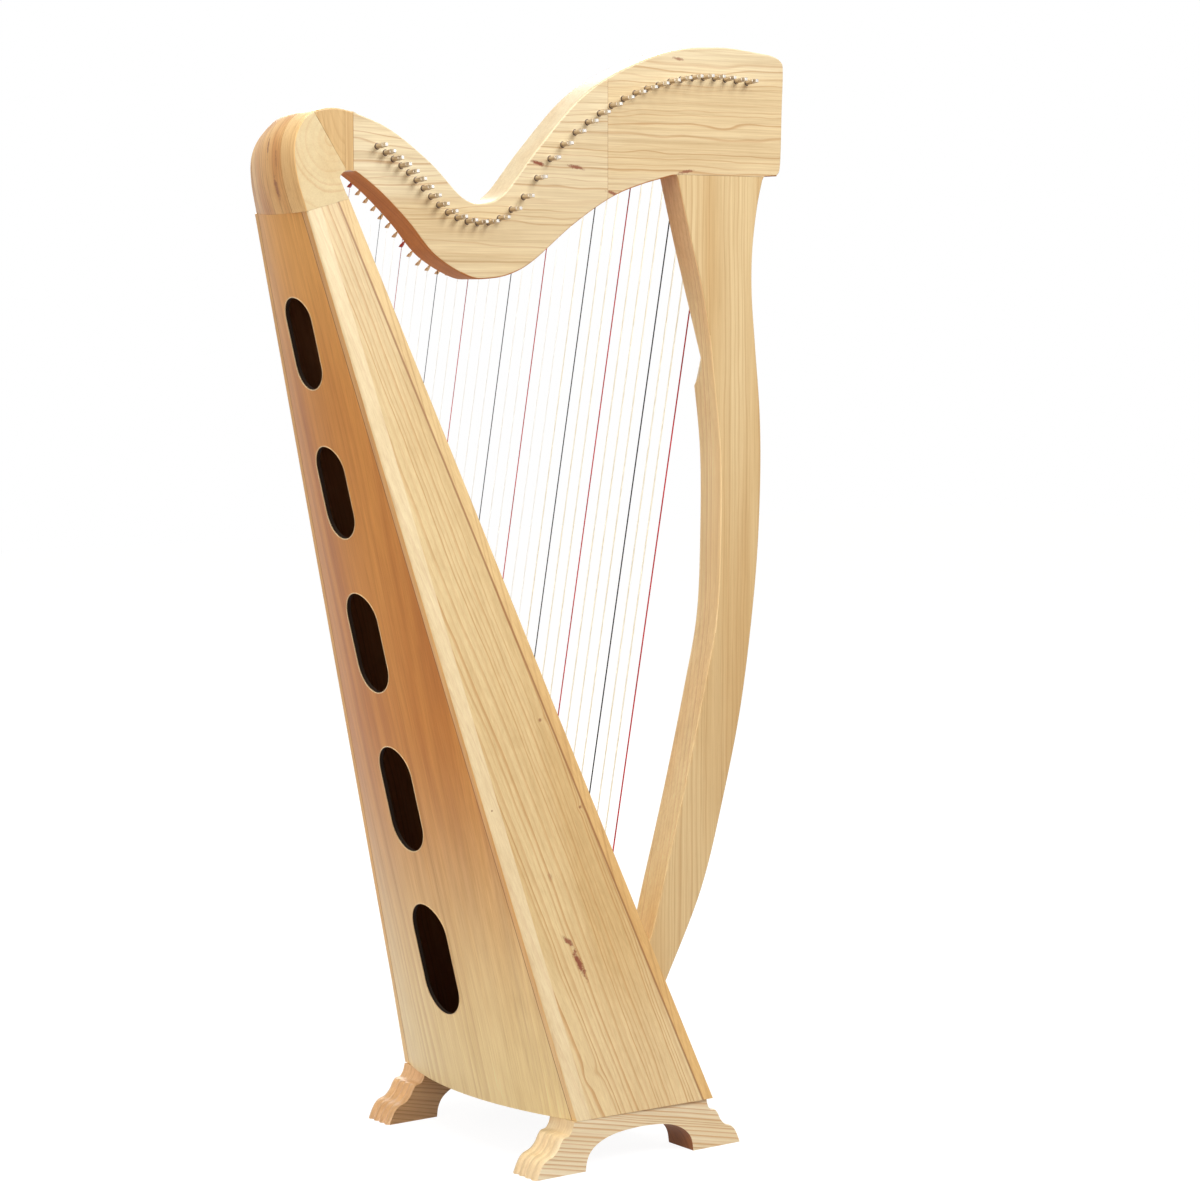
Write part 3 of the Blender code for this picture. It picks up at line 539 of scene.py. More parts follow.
def scatter(name, pattern, places, turns, finish):
    source = placed("pattern", pattern)
    grow(name, seeds(places, [], "turn", "FLOAT_VECTOR", turns), scatterTree, {"Pattern": source}, finish)
    bpy.data.objects.remove(source)


scatterTree = makeScatterTree()
wireTree = makeWireTree()
windingTree = makeWindingTree()
print("node trees made")


# Soundbox

box = {
    "soleBack": Vector((-0.0487, 0, 0.0634)),
    "soleFront": Vector((0.1555, 0, 0.0634)),
    "seamBack": Vector((-0.3390, 0, 1.1500)),
    "seamFront": Vector((-0.2810, 0, 1.1660)),
    "halfSoleBack": 0.1910,
    "halfSoleFront": 0.1960,
    "halfSeam": 0.0605,
    "aside": (0.0050, 0.0035),         # middle of the box left of the strings, low and high
    "board": 0.020,                    # side board thickness
    "lip": 0.0105,                     # rounded edge outside the back panel
    "lipRound": 0.0046,                # its rounding, at the foot too, and where the one becomes the other
    "lipFoot": 0.0010,
    "lipRunOut": 0.105,
    "panel": 0.006,
    "bowSole": 0.033,                  # how far the back bows out, low and high
    "bowSeam": 0.0085,
    "rail": 0.0150,
    "rim": 0.0007,                     # roundness of the holes' outer edges
    "cut": 0.03,                       # reach of the holes' cutters
    "gap": 0.0003,                     # between pieces that touch in life
    "touch": 0.00005,                  # between a piece made here and a plain solid it runs into
    # share of the length, offset to the left, length and width, from the lowest up
    "holes": ((0.1619, 0.0076, 0.1466, 0.0760), (0.3499, 0.0065, 0.1358, 0.0710),
              (0.5289, 0.0055, 0.1265, 0.0685), (0.6975, 0.0035, 0.1150, 0.0625),
              (0.8608, 0.0018, 0.1126, 0.0573)),
}
seamWay = (box["seamFront"] - box["seamBack"]).normalized()
boxTop = 1 - 0.0004


def boxHalf(point):
    rise = box["seamBack"] - box["soleBack"]
    perX = (box["halfSoleFront"] - box["halfSoleBack"]) / (box["soleFront"].x - box["soleBack"].x)
    perZ = (box["halfSeam"] - box["halfSoleBack"] - perX * rise.x) / rise.z
    return box["halfSoleBack"] + perX * (point.x - box["soleBack"].x) + perZ * (point.z - box["soleBack"].z)


def boxMiddle(point):
    return mix(*box["aside"], (point.z - box["soleBack"].z) / (box["seamBack"].z - box["soleBack"].z))


def boxSpot(edge, inset, share):
    if edge == "back":
        low, high = box["soleBack"] + Vector((inset, 0, 0)), box["seamBack"] + seamWay * inset
    else:
        low, high = box["soleFront"] - Vector((inset, 0, 0)), box["seamFront"] - seamWay * inset
    return low.lerp(high, share)


def boxCorner(edge, inset, margin, hand, share):
    spot = boxSpot(edge, inset, share)
    return Vector((spot.x, boxMiddle(spot) + hand * (boxHalf(spot) - margin), spot.z))


def alongBox(edge, inset):
    # Plane that holds one edge of the side view and runs straight across
    low, high = boxSpot(edge, inset, 0), boxSpot(edge, inset, 1)
    return planeThrough(low, high, low + sideways)


def besideBox(margin, hand):
    # Plane that runs with the outside of a side board, this far inside it
    return planeThrough(boxCorner("back", 0, margin, hand, 0), boxCorner("front", 0, margin, hand, 0),
                        boxCorner("back", 0, margin, hand, 1))


lipSeams = [(besideBox(box["lip"], hand), 0.0010) for hand in (-1, 1)]
# The pale strip is measured forwards from the back edge, so its plane has to face that way
backPlane = alongBox("back", 0)
if backPlane[0][0] < 0:
    backPlane = (tuple(-n for n in backPlane[0]), -backPlane[1])
sideWood = wood("sideAsh", turn=alongSide, heart=(-0.250, 0.05), tilt=(0.075, 0.0), rings=170, waver=0.009,
                lineDepth=0.88, lineFrom=0.40, pale=(232, 209, 157), warm=(212, 179, 120),
                line=(190, 130, 58),
                fades=((0.85, 1.12, (233, 214, 170), 0.65), (0.30, 0.10, (244, 224, 178), 0.5)),
                knots=(((-0.0636, -0.1315, 0.5461), 0.007, 0.004),
                       ((-0.0141, -0.1449, 0.4377), 0.006, 0.003),
                       ((-0.1402, -0.1410, 0.4442), 0.004, 0.002),
                       ((-0.0224, -0.1808, 0.1159), 0.012, 0.006)),
                marks=(((-0.0305, -0.1655, 0.2520), (0, -24, 0), (0.0056, 0.02, 0.030), 1.0),
                       ((-0.0440, -0.1622, 0.2790), (0, -52, 0), (0.0044, 0.02, 0.014), 0.9),
                       ((-0.0640, -0.1525, 0.3584), (0, -20, 0), (0.0040, 0.02, 0.010), 0.35)),
                strips=((backPlane, -0.001, 0.0205, (246, 230, 190), 0.72),),
                seams=lipSeams + [(alongBox("front", box["rail"]), 0.0022)])
sideInner = wood("boardInside", turn=alongSide, **rawShadedWood)
# Warmer tan for the rounded back edge: partly the wood's own tone, partly painted shade on that edge
shadedLipWood = wood("shadedLipAsh", turn=alongBack, heart=(0.90, 0.30), rings=240, waver=0.006, lineDepth=0.45,
               pale=(240, 196, 128), warm=(222, 172, 102), line=(190, 134, 68),
               fades=((0.35, 0.08, (255, 232, 178), 0.7),), seams=lipSeams)
# Its lower part goes over to pale cream, painted light from the floor; towards the top it turns lighter and
# more golden
backWood = wood("backVeneer", turn=alongBack, heart=(0.90, 0.30), rings=60, waver=0.016,
                lineDepth=0.30, lineFrom=0.30, pale=(216, 152, 78), warm=(186, 116, 50),
                line=(166, 100, 42), bands=0.80, bandWidth=34.0, fibre=0.26, gloss=0.46, coat=0.08,
                fades=((0.56, 0.08, (255, 240, 190), 0.95), (0.90, 1.14, (246, 192, 116), 0.85)),
                seams=lipSeams)
# Walls of the sound holes: the panel's plywood edge, painted near black as the shade inside the holes
shadedHoleWall = wood("shadedHoleWall", turn=alongBack, pale=(46, 29, 19), warm=(38, 24, 16), rings=600,
               line=(30, 19, 12), coat=0.0, gloss=0.8)
rimWood = wood("holeRim", turn=alongBack, pale=(246, 222, 176), warm=(236, 206, 156), coat=0.3)
railWood = wood("railAsh", turn=alongFront, heart=(0.20, 0.10), rings=230, waver=0.006, lineDepth=0.45,
                pale=(232, 194, 128), warm=(212, 164, 96), line=(180, 124, 62),
                fades=((0.30, 1.00, (236, 210, 154), 0.85),),
                seams=((alongBox("front", box["rail"]), 0.0018),))
boardWood = wood("soundboardSpruce", turn=alongFront, heart=(0.0, 1.5), rings=520, waver=0.002,
                 lineDepth=0.35, pale=(236, 206, 152), warm=(226, 190, 130), line=(190, 140, 84))


def makeSideBoards():
    rounding, behind = quarterTurn(9), box["panel"] + box["gap"]
    stations = [box["lipRunOut"] * i / 6 for i in range(7)] + [0.4, 0.7, boxTop]
    for hand, side in ((-1, "right"), (1, "left")):
        rings = []
        for share in stations:
            over = mix(box["lipFoot"], box["lipRound"], min(1, share / box["lipRunOut"]))
            points = [("front", box["rail"] + box["touch"], 0)]
            points += [("back", over * (1 - math.sin(a)), over * (1 - math.cos(a))) for a in rounding]
            points += [("back", 0, box["lip"]), ("back", behind, box["lip"]),
                       ("back", behind, box["board"]), ("front", box["rail"] + box["touch"], box["board"])]
            rings.append([boxCorner(edge, inset, margin, hand, share) for edge, inset, margin in points])
        mesh = skin("board", rings)
        count = len(rings[0])
        inside, lip = (count - 3, count - 2), range(6, 11)   # faces towards the air, and the rounded edge
        # The rounded edge takes the tan lip finish, which is partly painted shade
        for face in mesh.polygons[:count * (len(rings) - 1)]:
            place = face.index % count
            face.material_index = 1 if place in inside else 2 if place in lip else 0
        addPiece(side + "SideBoard", mesh, (sideWood, sideInner, shadedLipWood),
                 stands=(f"side_board_{side}",), keen=30)


def bowEnd(back, forward, half, bulge, aside, across, inset):
    radius = (half * half + bulge * bulge) / (2 * bulge)
    angle = math.asin(half / radius)
    out = radius * (math.cos(across * angle) - math.cos(angle))
    spot = back + forward * (inset - out)
    return Vector((spot.x, aside + radius * math.sin(across * angle), spot.z))


def bow(across, inset, share):
    rim = box["lip"] + box["touch"]
    low = bowEnd(box["soleBack"], Vector((1, 0, 0)), box["halfSoleBack"] - rim, box["bowSole"],
                 box["aside"][0], across, inset)
    high = bowEnd(box["seamBack"], seamWay, box["halfSeam"] - rim, box["bowSeam"],
                  box["aside"][1], across, inset)
    return low.lerp(high, share)


def slotOutline(length, width):
    # Sideways and upwards, round a slot with half-round ends
    turns = [math.pi * i / 24 for i in range(25)]
    return [(end * width / 2 * math.cos(a), end * ((length - width) / 2 + width / 2 * math.sin(a)))
            for end in (1, -1) for a in turns]


def slotCutter(centre, forward, length, width, depth):
    along = forward.cross(sideways).normalized()
    outline = [sideways * aside + along * up for aside, up in slotOutline(length, width)]
    mesh = skin("slot", [[centre + p + forward * reach for p in outline] for reach in (-depth, depth)])
    # The cutter's faces become the holes' walls and take the painted-shade finish
    for face in mesh.polygons:
        face.material_index = 1
    return mesh


def makeBackPanel():
    arc = [-1 + i / 28 for i in range(57)]
    shares = (0, 0.2, 0.4, 0.6, 0.8, boxTop)
    rings = [[bow(a, 0, s) for a in arc] + [bow(a, box["panel"], s) for a in reversed(arc)] for s in shares]
    panel = skin("panel", rings)
    count = len(rings[0])
    for face in panel.polygons[:count * (len(rings) - 1)]:
        face.material_index = 2 if face.index % count >= len(arc) else 0
    finishes = (backWood, shadedHoleWall, innerWood)
    giveFinishes(panel, finishes)
    rise = (bow(0, 0, 1) - bow(0, 0, 0)).normalized()
    forward = Vector((rise.z, 0, -rise.x))
    for share, y, length, width in box["holes"]:
        centre = bow(0, box["panel"] / 2, share)
        cutter = slotCutter(Vector((centre.x, y, centre.z)), forward, length, width, box["cut"])
        giveFinishes(cutter, finishes)
        panel = carve(panel, cutter, "DIFFERENCE")
    addPiece("backPanel", panel, finishes, stands=("back_panel",), keen=30)


def onBack(y, share):
    # Point of the panel's outer face with this y
    low, high = -1.0, 1.0
    for step in range(30):
        middle = (low + high) / 2
        if bow(middle, 0, share).y < y:
            low = middle
        else:
            high = middle
    return bow(low, 0, share)


def makeHoleRims():
    # Eased outer edge of each sound hole, which catches the light
    rise = bow(0, 0, 1) - bow(0, 0, 0)
    points, edges = [], []
    for share, y, length, width in box["holes"]:
        first = len(points)
        points += [onBack(y + aside, share + up / rise.length) for aside, up in slotOutline(length, width)]
        count = len(points) - first
        edges += [(first + i, first + (i + 1) % count) for i in range(count)]
    rims = seeds(points, edges, "gauge", "FLOAT", [box["rim"]] * len(points))
    grow("holeRims", rims, wireTree, {"Sides": 8}, rimWood)


makeSideBoards()
makeBackPanel()
makeHoleRims()
plainNodes = {
    "front_rail_right": railWood, "front_rail_left": railWood, "soundboard": boardWood,
    "inner_string_rib": innerWood, "base_block": innerWood,
    **{f"back_brace_{n}": innerWood for n in range(1, 5)},
}
for node, finish in plainNodes.items():
    giveFinishes(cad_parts[node].data, (finish,))
print("soundbox made")


# Neck, pillar and shoulder

neck = {
    "right": -0.0570,                  # its two faces
    "left": -0.0150,
    "edge": 0.0020,                    # rounding of the long edges
    "jointX": -0.2746,                 # where it meets the shoulder
    "capZ": 1.2041,                    # where it stands on the pillar
    "lipX": 0.3392,                    # the step in front of the pillar's top
    "lipZ": 1.2055,
    "top": ((-0.2746, 1.2662), (-0.2227, 1.2469), (-0.1668, 1.2096), (-0.1219, 1.1697),
            (-0.0920, 1.1637), (-0.0611, 1.1767), (-0.0130, 1.2303), (0.0507, 1.2932),
            (0.1128, 1.3293), (0.1921, 1.3565), (0.2682, 1.3640), (0.3290, 1.3599), (0.3535, 1.3566),
            (0.3660, 1.3505), (0.3698, 1.3390), (0.3683, 1.2899), (0.3660, 1.2200), (0.3600, 1.2055)),
    "belly": ((0.1993, 1.2041), (0.1431, 1.1902), (0.0962, 1.1729), (0.0393, 1.1391), (-0.0179, 1.0964),
              (-0.0517, 1.0797), (-0.0851, 1.0737), (-0.1146, 1.0762), (-0.1618, 1.1009),
              (-0.1998, 1.1403), (-0.2367, 1.1730), (-0.2648, 1.1928), (-0.2746, 1.1972)),
}
pillar = {
    "left": -0.0130,
    "edge": 0.0025,
    "beyond": 0.02,                    # how far the notch's cutter reaches outside
    "foot": 0.0002,                    # how far the post is let into the soundboard
    "front": ((0.3384, 1.2041), (0.3292, 1.1677), (0.3216, 1.1129), (0.3208, 1.0560), (0.3270, 0.9861),
              (0.3352, 0.8954), (0.3357, 0.8006), (0.3282, 0.6858), (0.3073, 0.5382), (0.2782, 0.4158),
              (0.2416, 0.2965), (0.1853, 0.1847), (0.1560, 0.1290), (0.1398, 0.1030)),
    "rear": ((0.1195, 0.1545), (0.1584, 0.2379), (0.1794, 0.3077), (0.2127, 0.4261), (0.2463, 0.5587),
             (0.2652, 0.6475), (0.2704, 0.7527), (0.2695, 0.8584), (0.2583, 0.9527), (0.2519, 1.0035),
             (0.2395, 1.0636), (0.2225, 1.1209), (0.1990, 1.2041)),
    # height, X and Y of its rear edge, depth
    "notch": ((1.2150, 0.1965, -0.0204, 0.007), (0.9750, 0.2555, -0.0344, 0.016),
              (0.9380, 0.2602, -0.0134, 0.001)),
}


neckWood = wood("neckAsh", heart=(0.10, 0.96), rings=128, waver=0.021, lineDepth=0.64, lineFrom=0.66,
                pale=(236, 221, 184), warm=(224, 198, 148), line=(186, 134, 72), fibre=0.30,
                splice=(0.0878, (0.7, 0.021, 0.008)),
                marks=(((-0.0130, -0.057, 1.2132), (0, 14, 0), (0.0150, 0.02, 0.0036), 1.0),
                       ((0.0440, -0.057, 1.2096), (0, 9, 0), (0.0190, 0.02, 0.0034), 0.9),
                       ((0.0980, -0.057, 1.1795), (0, 15, 0), (0.0110, 0.02, 0.0030), 0.9),
                       ((0.2010, -0.057, 1.3470), (0, 8, 0), (0.0120, 0.02, 0.0028), 0.7),
                       ((0.2130, -0.057, 1.2080), (0, -10, 0), (0.0180, 0.02, 0.0032), 0.8)),
                seams=((((1, 0, 0), 0.0878), 0.0004),))
# Paler copy of the neck's wood with faint lines, for the upward faces: painted light
litNeckTop = wood("litNeckTopAsh", heart=(0.90, 0.96), rings=120, waver=0.006, lineDepth=0.22,
               pale=(236, 218, 178), warm=(228, 200, 152), line=(206, 158, 100))
# Darker red-brown copy of the neck's wood for the downward faces: painted shade
shadedNeckUnder = wood("shadedNeckUnderAsh", heart=(0.90, 0.96), rings=160, waver=0.006, lineDepth=0.4, coat=0.0,
                 gloss=0.6, pale=(216, 150, 94), warm=(196, 130, 76), line=(156, 94, 52))
# Paler copy of the pillar's wood for its rear faces, painted light where the lamps reach them less; it
# turns browner towards the top
litPillarRear = wood("litPillarRearAsh", turn=upright, heart=(0.60, 0.10), rings=180, waver=0.006, lineDepth=0.45,
                  pale=(255, 236, 190), warm=(246, 210, 154), line=(206, 152, 98),
                  fades=((0.95, 1.20, (232, 176, 120), 0.6),))
pillarWood = wood("pillarAsh", turn=upright, heart=(0.16, 0.10), rings=180, waver=0.009, lineDepth=0.52,
                  pale=(230, 206, 156), warm=(208, 172, 114), line=(180, 128, 66),
                  marks=(((0.2529, -0.057, 0.8081), (0, 20, 0), (0.0034, 0.02, 0.0070), 0.8),
                         ((0.2645, -0.057, 0.7376), (0, -10, 0), (0.0030, 0.02, 0.0055), 0.7)))


def roundedSlab(name, outline, square, right, left, radius):
    # Upright slab with long edges rounded; points in square keep their full thickness
    count = len(outline)
    inward = []
    for i in range(count):
        run = ((outline[i] - outline[i - 1]).normalized()
               + (outline[(i + 1) % count] - outline[i]).normalized())
        inward.append(Vector((-run.y, run.x)).normalized())
    area = sum(a.x * b.y - b.x * a.y for a, b in zip(outline, outline[1:] + outline[:1]))
    turn = 1 if area > 0 else -1
    levels = [(right + radius * (1 - math.cos(a)), radius * (1 - math.sin(a))) for a in quarterTurn(6)]
    levels += [(left + right - y, inset) for y, inset in reversed(levels)]
    rings = [[Vector((p.x + n.x * turn * inset * (i not in square), y,
                      p.y + n.y * turn * inset * (i not in square)))
              for i, (p, n) in enumerate(zip(outline, inward))] for y, inset in levels]
    return skin(name, rings)


def makeNeck():
    top = curveThrough(neck["top"], 8)
    top[0] = Vector((neck["jointX"] + box["gap"], neck["top"][0][1]))
    belly = curveThrough(neck["belly"], 8)
    belly[0] = belly[0] + Vector((0, box["gap"]))
    belly[-1] = Vector((neck["jointX"] + box["gap"], neck["belly"][-1][1]))
    lip = [Vector((neck["lipX"], neck["lipZ"])), Vector((neck["lipX"], neck["capZ"] + box["gap"]))]
    outline = top + lip + belly
    square = {0, len(top), len(top) + 1, len(top) + 2, len(outline) - 1}
    mesh = roundedSlab("neck", outline, square, neck["right"], neck["left"], neck["edge"])
    # Upward faces take the painted-light copy of the wood
    facing(mesh, (0, 0, 1), 0.35, 1)
    # Downward faces take the painted-shade copy
    facing(mesh, (0, 0, -1), 0.35, 2)
    addPiece("neckSlab", mesh, (neckWood, litNeckTop, shadedNeckUnder), stands=("neck",), keen=32)


def makePillar():
    front = curveThrough(pillar["front"], 8)
    rear = curveThrough(pillar["rear"], 8)
    outline = front + rear
    square = {0, len(front) - 1, len(front), len(outline) - 1}
    for index in (len(front) - 1, len(front)):
        z = outline[index].y
        share = (z - box["soleFront"].z) / (box["seamFront"].z - box["soleFront"].z)
        outline[index] = Vector((boxSpot("front", pillar["foot"], share).x, z))
    mesh = roundedSlab("pillar", outline, square, neck["right"], pillar["left"], pillar["edge"])
    rings, beyond = [], pillar["beyond"]
    for z, rearX, rearY, depth in pillar["notch"]:
        run = Vector((depth, pillar["left"] - rearY)).normalized() * beyond
        rings.append([Vector((rearX - run.x, rearY - run.y, z)),
                      Vector((rearX + depth + run.x, pillar["left"] + run.y, z)),
                      Vector((rearX - beyond, pillar["left"] + beyond, z))])
    mesh = carve(mesh, skin("notch", rings), "DIFFERENCE")
    # Rear faces take the painted-light copy
    facing(mesh, (-1, 0, 0), 0.6, 1)
    addPiece("pillarPost", mesh, (pillarWood, litPillarRear), stands=("pillar",), keen=32)


shoulder = {
    "joints": (-0.0345, 0.0415),       # planes between its three layers
    "room": ((-0.6, 1.0), (0.6, 1.0), (0.6, 1.5), (-0.6, 1.5)),   # holds the whole shoulder
    "far": 0.2,                        # well beyond the shoulder, for its cutters
    "high": 1.35,
    "nearRound": 0.0020,               # rounding of the edge at the right face
    "strip": 0.0112,                   # width of the end strip, and the height where it starts
    "stripFoot": 1.1900,
    "wedgeTop": (-0.3210, 1.2542),
    "wedgeFoot": (-0.2912, 1.2090),
    "wedgeOver": 0.6,                  # how far its line runs on outside, in lengths of the wedge
    # inner and outer point, left half width, crown and edge radius of each station
    "stations": (
        (-0.2810, 1.1660, -0.3390, 1.1500, 0.0640, 0.0085, 0.0105),
        (-0.2846, 1.1712, -0.3445, 1.1660, 0.0606, 0.0087, 0.0108),
        (-0.2880, 1.1780, -0.3500, 1.1840, 0.0569, 0.0085, 0.0112),
        (-0.2912, 1.1850, -0.3540, 1.2050, 0.0523, 0.0076, 0.0118),
        (-0.2929, 1.1895, -0.3547, 1.2230, 0.0447, 0.0063, 0.0120),
        (-0.2921, 1.1925, -0.3510, 1.2398, 0.0324, 0.0045, 0.0120),
        (-0.2890, 1.1955, -0.3401, 1.2570, 0.0167, 0.0024, 0.0105),
        (-0.2850, 1.1975, -0.3255, 1.2655, 0.0033, 0.0006, 0.0080),
        (-0.2798, 1.1984, -0.3003, 1.2696, -0.0066, 0.0000, 0.0045),
        (-0.2746, 1.1972, -0.2746, 1.2662, -0.0150, 0.0000, 0.0024),
    ),
}


cheekWood = wood("cheekAsh", turn=(0, 0, 90), heart=(-0.302, 1.2316), rings=118, waver=0.012,
                 lineDepth=0.42, fibre=0.12, pale=(238, 220, 174), warm=(232, 206, 154),
                 line=(212, 166, 104))
cheekEdge = wood("cheekEdgeAsh", turn=upright, heart=(0.70, 0.30), rings=420, waver=0.004, lineDepth=0.6,
                 pale=(255, 220, 158), warm=(240, 192, 124), line=(196, 140, 80))
wedgeWood = wood("wedgeAsh", turn=upright, heart=(-0.640, 0.285), tilt=(0.45, 0.0), rings=150,
                 lineDepth=0.45, pale=(226, 192, 134), warm=(208, 166, 104))
stripWood = wood("stripAsh", turn=upright, heart=(0.10, 0.06), rings=260, pale=(226, 192, 134),
                 warm=(204, 160, 100))
coreWood = wood("coreAsh", turn=upright, heart=(0.70, 0.30), rings=200, waver=0.012, lineDepth=0.80,
                pale=(246, 202, 132), warm=(218, 158, 88), line=(156, 98, 46), bandWidth=30.0, bands=1.0,
                marks=(((-0.3560, -0.0080, 1.2240), (0, 0, 4), (0.02, 0.0030, 0.0160), 0.7),
                       ((-0.3500, -0.0200, 1.1800), (0, 0, 0), (0.02, 0.0050, 0.0220), 0.7),
                       ((-0.3540, -0.0260, 1.2100), (0, 0, 0), (0.02, 0.0026, 0.0200), 0.5)))
sapWood = wood("leftCheekAsh", turn=upright, heart=(0.70, 0.30), rings=240, waver=0.006, lineDepth=0.65,
               pale=(236, 190, 122), warm=(212, 158, 92), line=(170, 112, 58))


def shoulderRing(station):
    innerX, innerZ, outerX, outerZ, left, crown, radius = station
    inner = Vector((innerX, 0, innerZ))
    out = Vector((outerX, 0, outerZ)) - inner
    reach = out.length
    out.normalize()

    def spot(distance, y):
        point = inner + out * distance
        return Vector((point.x, y, point.z))

    right = neck["right"]
    turns = quarterTurn(8)
    near = shoulder["nearRound"]
    ring = [spot(0, right)]
    ring += [spot(reach - near * (1 - math.sin(a)), right + near * (1 - math.cos(a))) for a in turns]
    for i in range(1, 16):
        u = i / 16
        ring.append(spot(reach + crown * 4 * u * (1 - u), mix(right + near, left - radius, u)))
    ring += [spot(reach - radius * (1 - math.sin(a)), left - radius * (1 - math.cos(a)))
             for a in reversed(turns)]
    ring.append(spot(0, left))
    return ring


def makeShoulder():
    half = box["gap"] / 2
    rings = [shoulderRing(station) for station in curveThrough(shoulder["stations"], 5)]
    lift = seamWay.cross(sideways).normalized() * -box["gap"]
    rings[0] = [p + lift for p in rings[0]]
    (rightEdge, leftEdge), far = shoulder["joints"], shoulder["far"]
    block = skin("block", rings)
    layers = ((rightEdge + half, leftEdge - half), (leftEdge + half, far), (-far, rightEdge - half))
    core, leftCheek, slab = [carve(block, prism(shoulder["room"], *sides), "INTERSECT") for sides in layers]
    top, foot = Vector(shoulder["wedgeTop"]), Vector(shoulder["wedgeFoot"])
    way = foot - top
    stripX = neck["jointX"] - shoulder["strip"]
    top = top - way * shoulder["wedgeOver"]
    foot = top + way * ((stripX - top.x) / way.x)
    low, high = shoulder["stripFoot"], shoulder["high"]
    cheekCut = prism((top, foot, (stripX, low), (-far, low), (-far, high), (top.x, high)), -far, far)
    over = Vector((box["gap"], 2 * box["gap"]))
    wedgeKeep = prism((top + over, (foot.x - half, foot.y + over.y), (foot.x - half, high),
                       (top.x + over.x, high)), -far, far)
    stripKeep = prism(((stripX + half, low + box["gap"]), (-far, low + box["gap"]), (-far, high),
                       (stripX + half, high)), -far, far)
    pieces = (("shoulderCore", core, coreWood, "shoulder_core"),
              ("leftCheek", leftCheek, sapWood, "shoulder_cheek_left"),
              ("rightCheek", carve(slab, cheekCut, "DIFFERENCE"), cheekWood, "shoulder_cheek_right"),
              ("wedge", carve(slab, wedgeKeep, "INTERSECT"), wedgeWood, "shoulder_wedge"),
              ("endStrip", carve(slab, stripKeep, "INTERSECT"), stripWood, "shoulder_strip"))
    for name, mesh, finish, node in pieces:
        facing(mesh, (-1, 0, 0), 0.2, 1)
        edge = cheekEdge if name == "rightCheek" else finish
        addPiece(name, mesh, (finish, edge), stands=(node,), keen=32)


makeNeck()
makePillar()
makeShoulder()
print("neck, pillar and shoulder made")


# Strings and their pins

strings = {
    "count": 36,
    "octave": 7,                       # strings in one, with a red and a black one at these places
    "red": 1,
    "black": 5,
    "spacing": ((1, 0.0120), (7, 0.0111), (11, 0.0146), (19, 0.0153), (36, 0.0166)),
    "rowX": 0.1540,                    # the row of feet at sole height, and its lean
    "rowLean": 0.3909,
    "lastFootZ": 0.1726,
    "slopes": (0.152, 0.1765),         # forward lean of strings 8 and 36
    "slopeFrom": 8,
    "radii": (0.00032, 0.00075),       # of the shortest and the longest
    "drawn": (0.75, 1.20),             # how much thinner and thicker than that they look
    "wind": 1.2,                       # share of its radius a string stands off its pin
    "eyelet": 0.0015,                  # they start this far in front of the board
    "firstWound": 25,
    "coil": (3.5, -0.0042, -0.0022),   # turns on the pin, their length and where they start
    "pinLine": ((-0.2581, 1.2356), (-0.2400, 1.2258), (-0.1970, 1.1963), (-0.1556, 1.1597),
                (-0.1291, 1.1451), (-0.0997, 1.1401), (-0.0688, 1.1462), (-0.0322, 1.1739),
                (0.0066, 1.2202), (0.0610, 1.2644), (0.1348, 1.3026), (0.2237, 1.3244),
                (0.3102, 1.3220), (0.3365, 1.3184)),
    "pinRadius": 0.0031,
    "pinBehind": 0.0040,
    "pinOut": 0.0145,                  # round part outside the neck, then the square end
    "pinHead": 0.0065,
    "pinSquare": 0.0021,
    "pinLeft": 0.0195,                 # beyond the left face
    "pinTilt": math.radians(4),
    "pivotDrops": (0.0338, 0.0500),    # lever pivots below the pins, at string 1 and from string 10 on
    "pivotAhead": 0.0031,
    "bridgeAbove": 0.0160,
    "bridgeRadius": 0.0020,
    "ribHalf": (0.014, 0.010),
    "ribDepth": 0.004,
    "ribEdge": 0.0015,
    "ribBend": 0.7,                    # share of its depth where its edges start to slope
    "ribInset": 0.0002,                # how far it reaches into the soundboard
    "ribShares": (0.094, 0.5, 0.985),  # of the box's length, where it starts, bends and ends
}


def stringLines():
    def spacing(number):
        for (n0, s0), (n1, s1) in zip(strings["spacing"], strings["spacing"][1:]):
            if number <= n1:
                return mix(s0, s1, (number - n0) / (n1 - n0))
        return strings["spacing"][-1][1]

    def slope(number):
        first = strings["slopeFrom"]
        return mix(*strings["slopes"], (number - first) / (strings["count"] - first))

    row = math.atan(strings["rowLean"])
    footZ = strings["lastFootZ"]
    lines = {}
    for number in range(strings["count"], 0, -1):
        footX = strings["rowX"] - strings["rowLean"] * (footZ - box["soleFront"].z)
        lines[number] = (footX, footZ, slope(number))
        lean = math.atan(slope(number - 0.5)) + row
        footZ += spacing(number - 0.5) / math.sin(lean) * math.cos(row)
    return lines


def pinPlaces():
    curve = curveThrough(strings["pinLine"], 24)
    places = {}
    for number, (footX, footZ, slope) in lines.items():
        for a, b in zip(curve, curve[1:]):
            sideA = a.x + strings["pinBehind"] - (footX + slope * (a.y - footZ))
            sideB = b.x + strings["pinBehind"] - (footX + slope * (b.y - footZ))
            if sideA <= 0 < sideB:
                places[number] = a.lerp(b, sideA / (sideA - sideB))
                break
    return places


lines = stringLines()
pins = pinPlaces()
numbers = range(1, strings["count"] + 1)


def stringX(number, z):
    footX, footZ, slope = lines[number]
    return footX + slope * (z - footZ)


def gauge(number):
    return mix(*strings["radii"], (number - 1) / (strings["count"] - 1))


def pivotPlace(number):
    z = pins[number].y - mix(*strings["pivotDrops"], min(number - 1, 9) / 9)
    ahead = (strings["pivotAhead"] + gauge(number)) / math.cos(math.atan(lines[number][2]))
    return Vector((stringX(number, z) + ahead, 0, z))


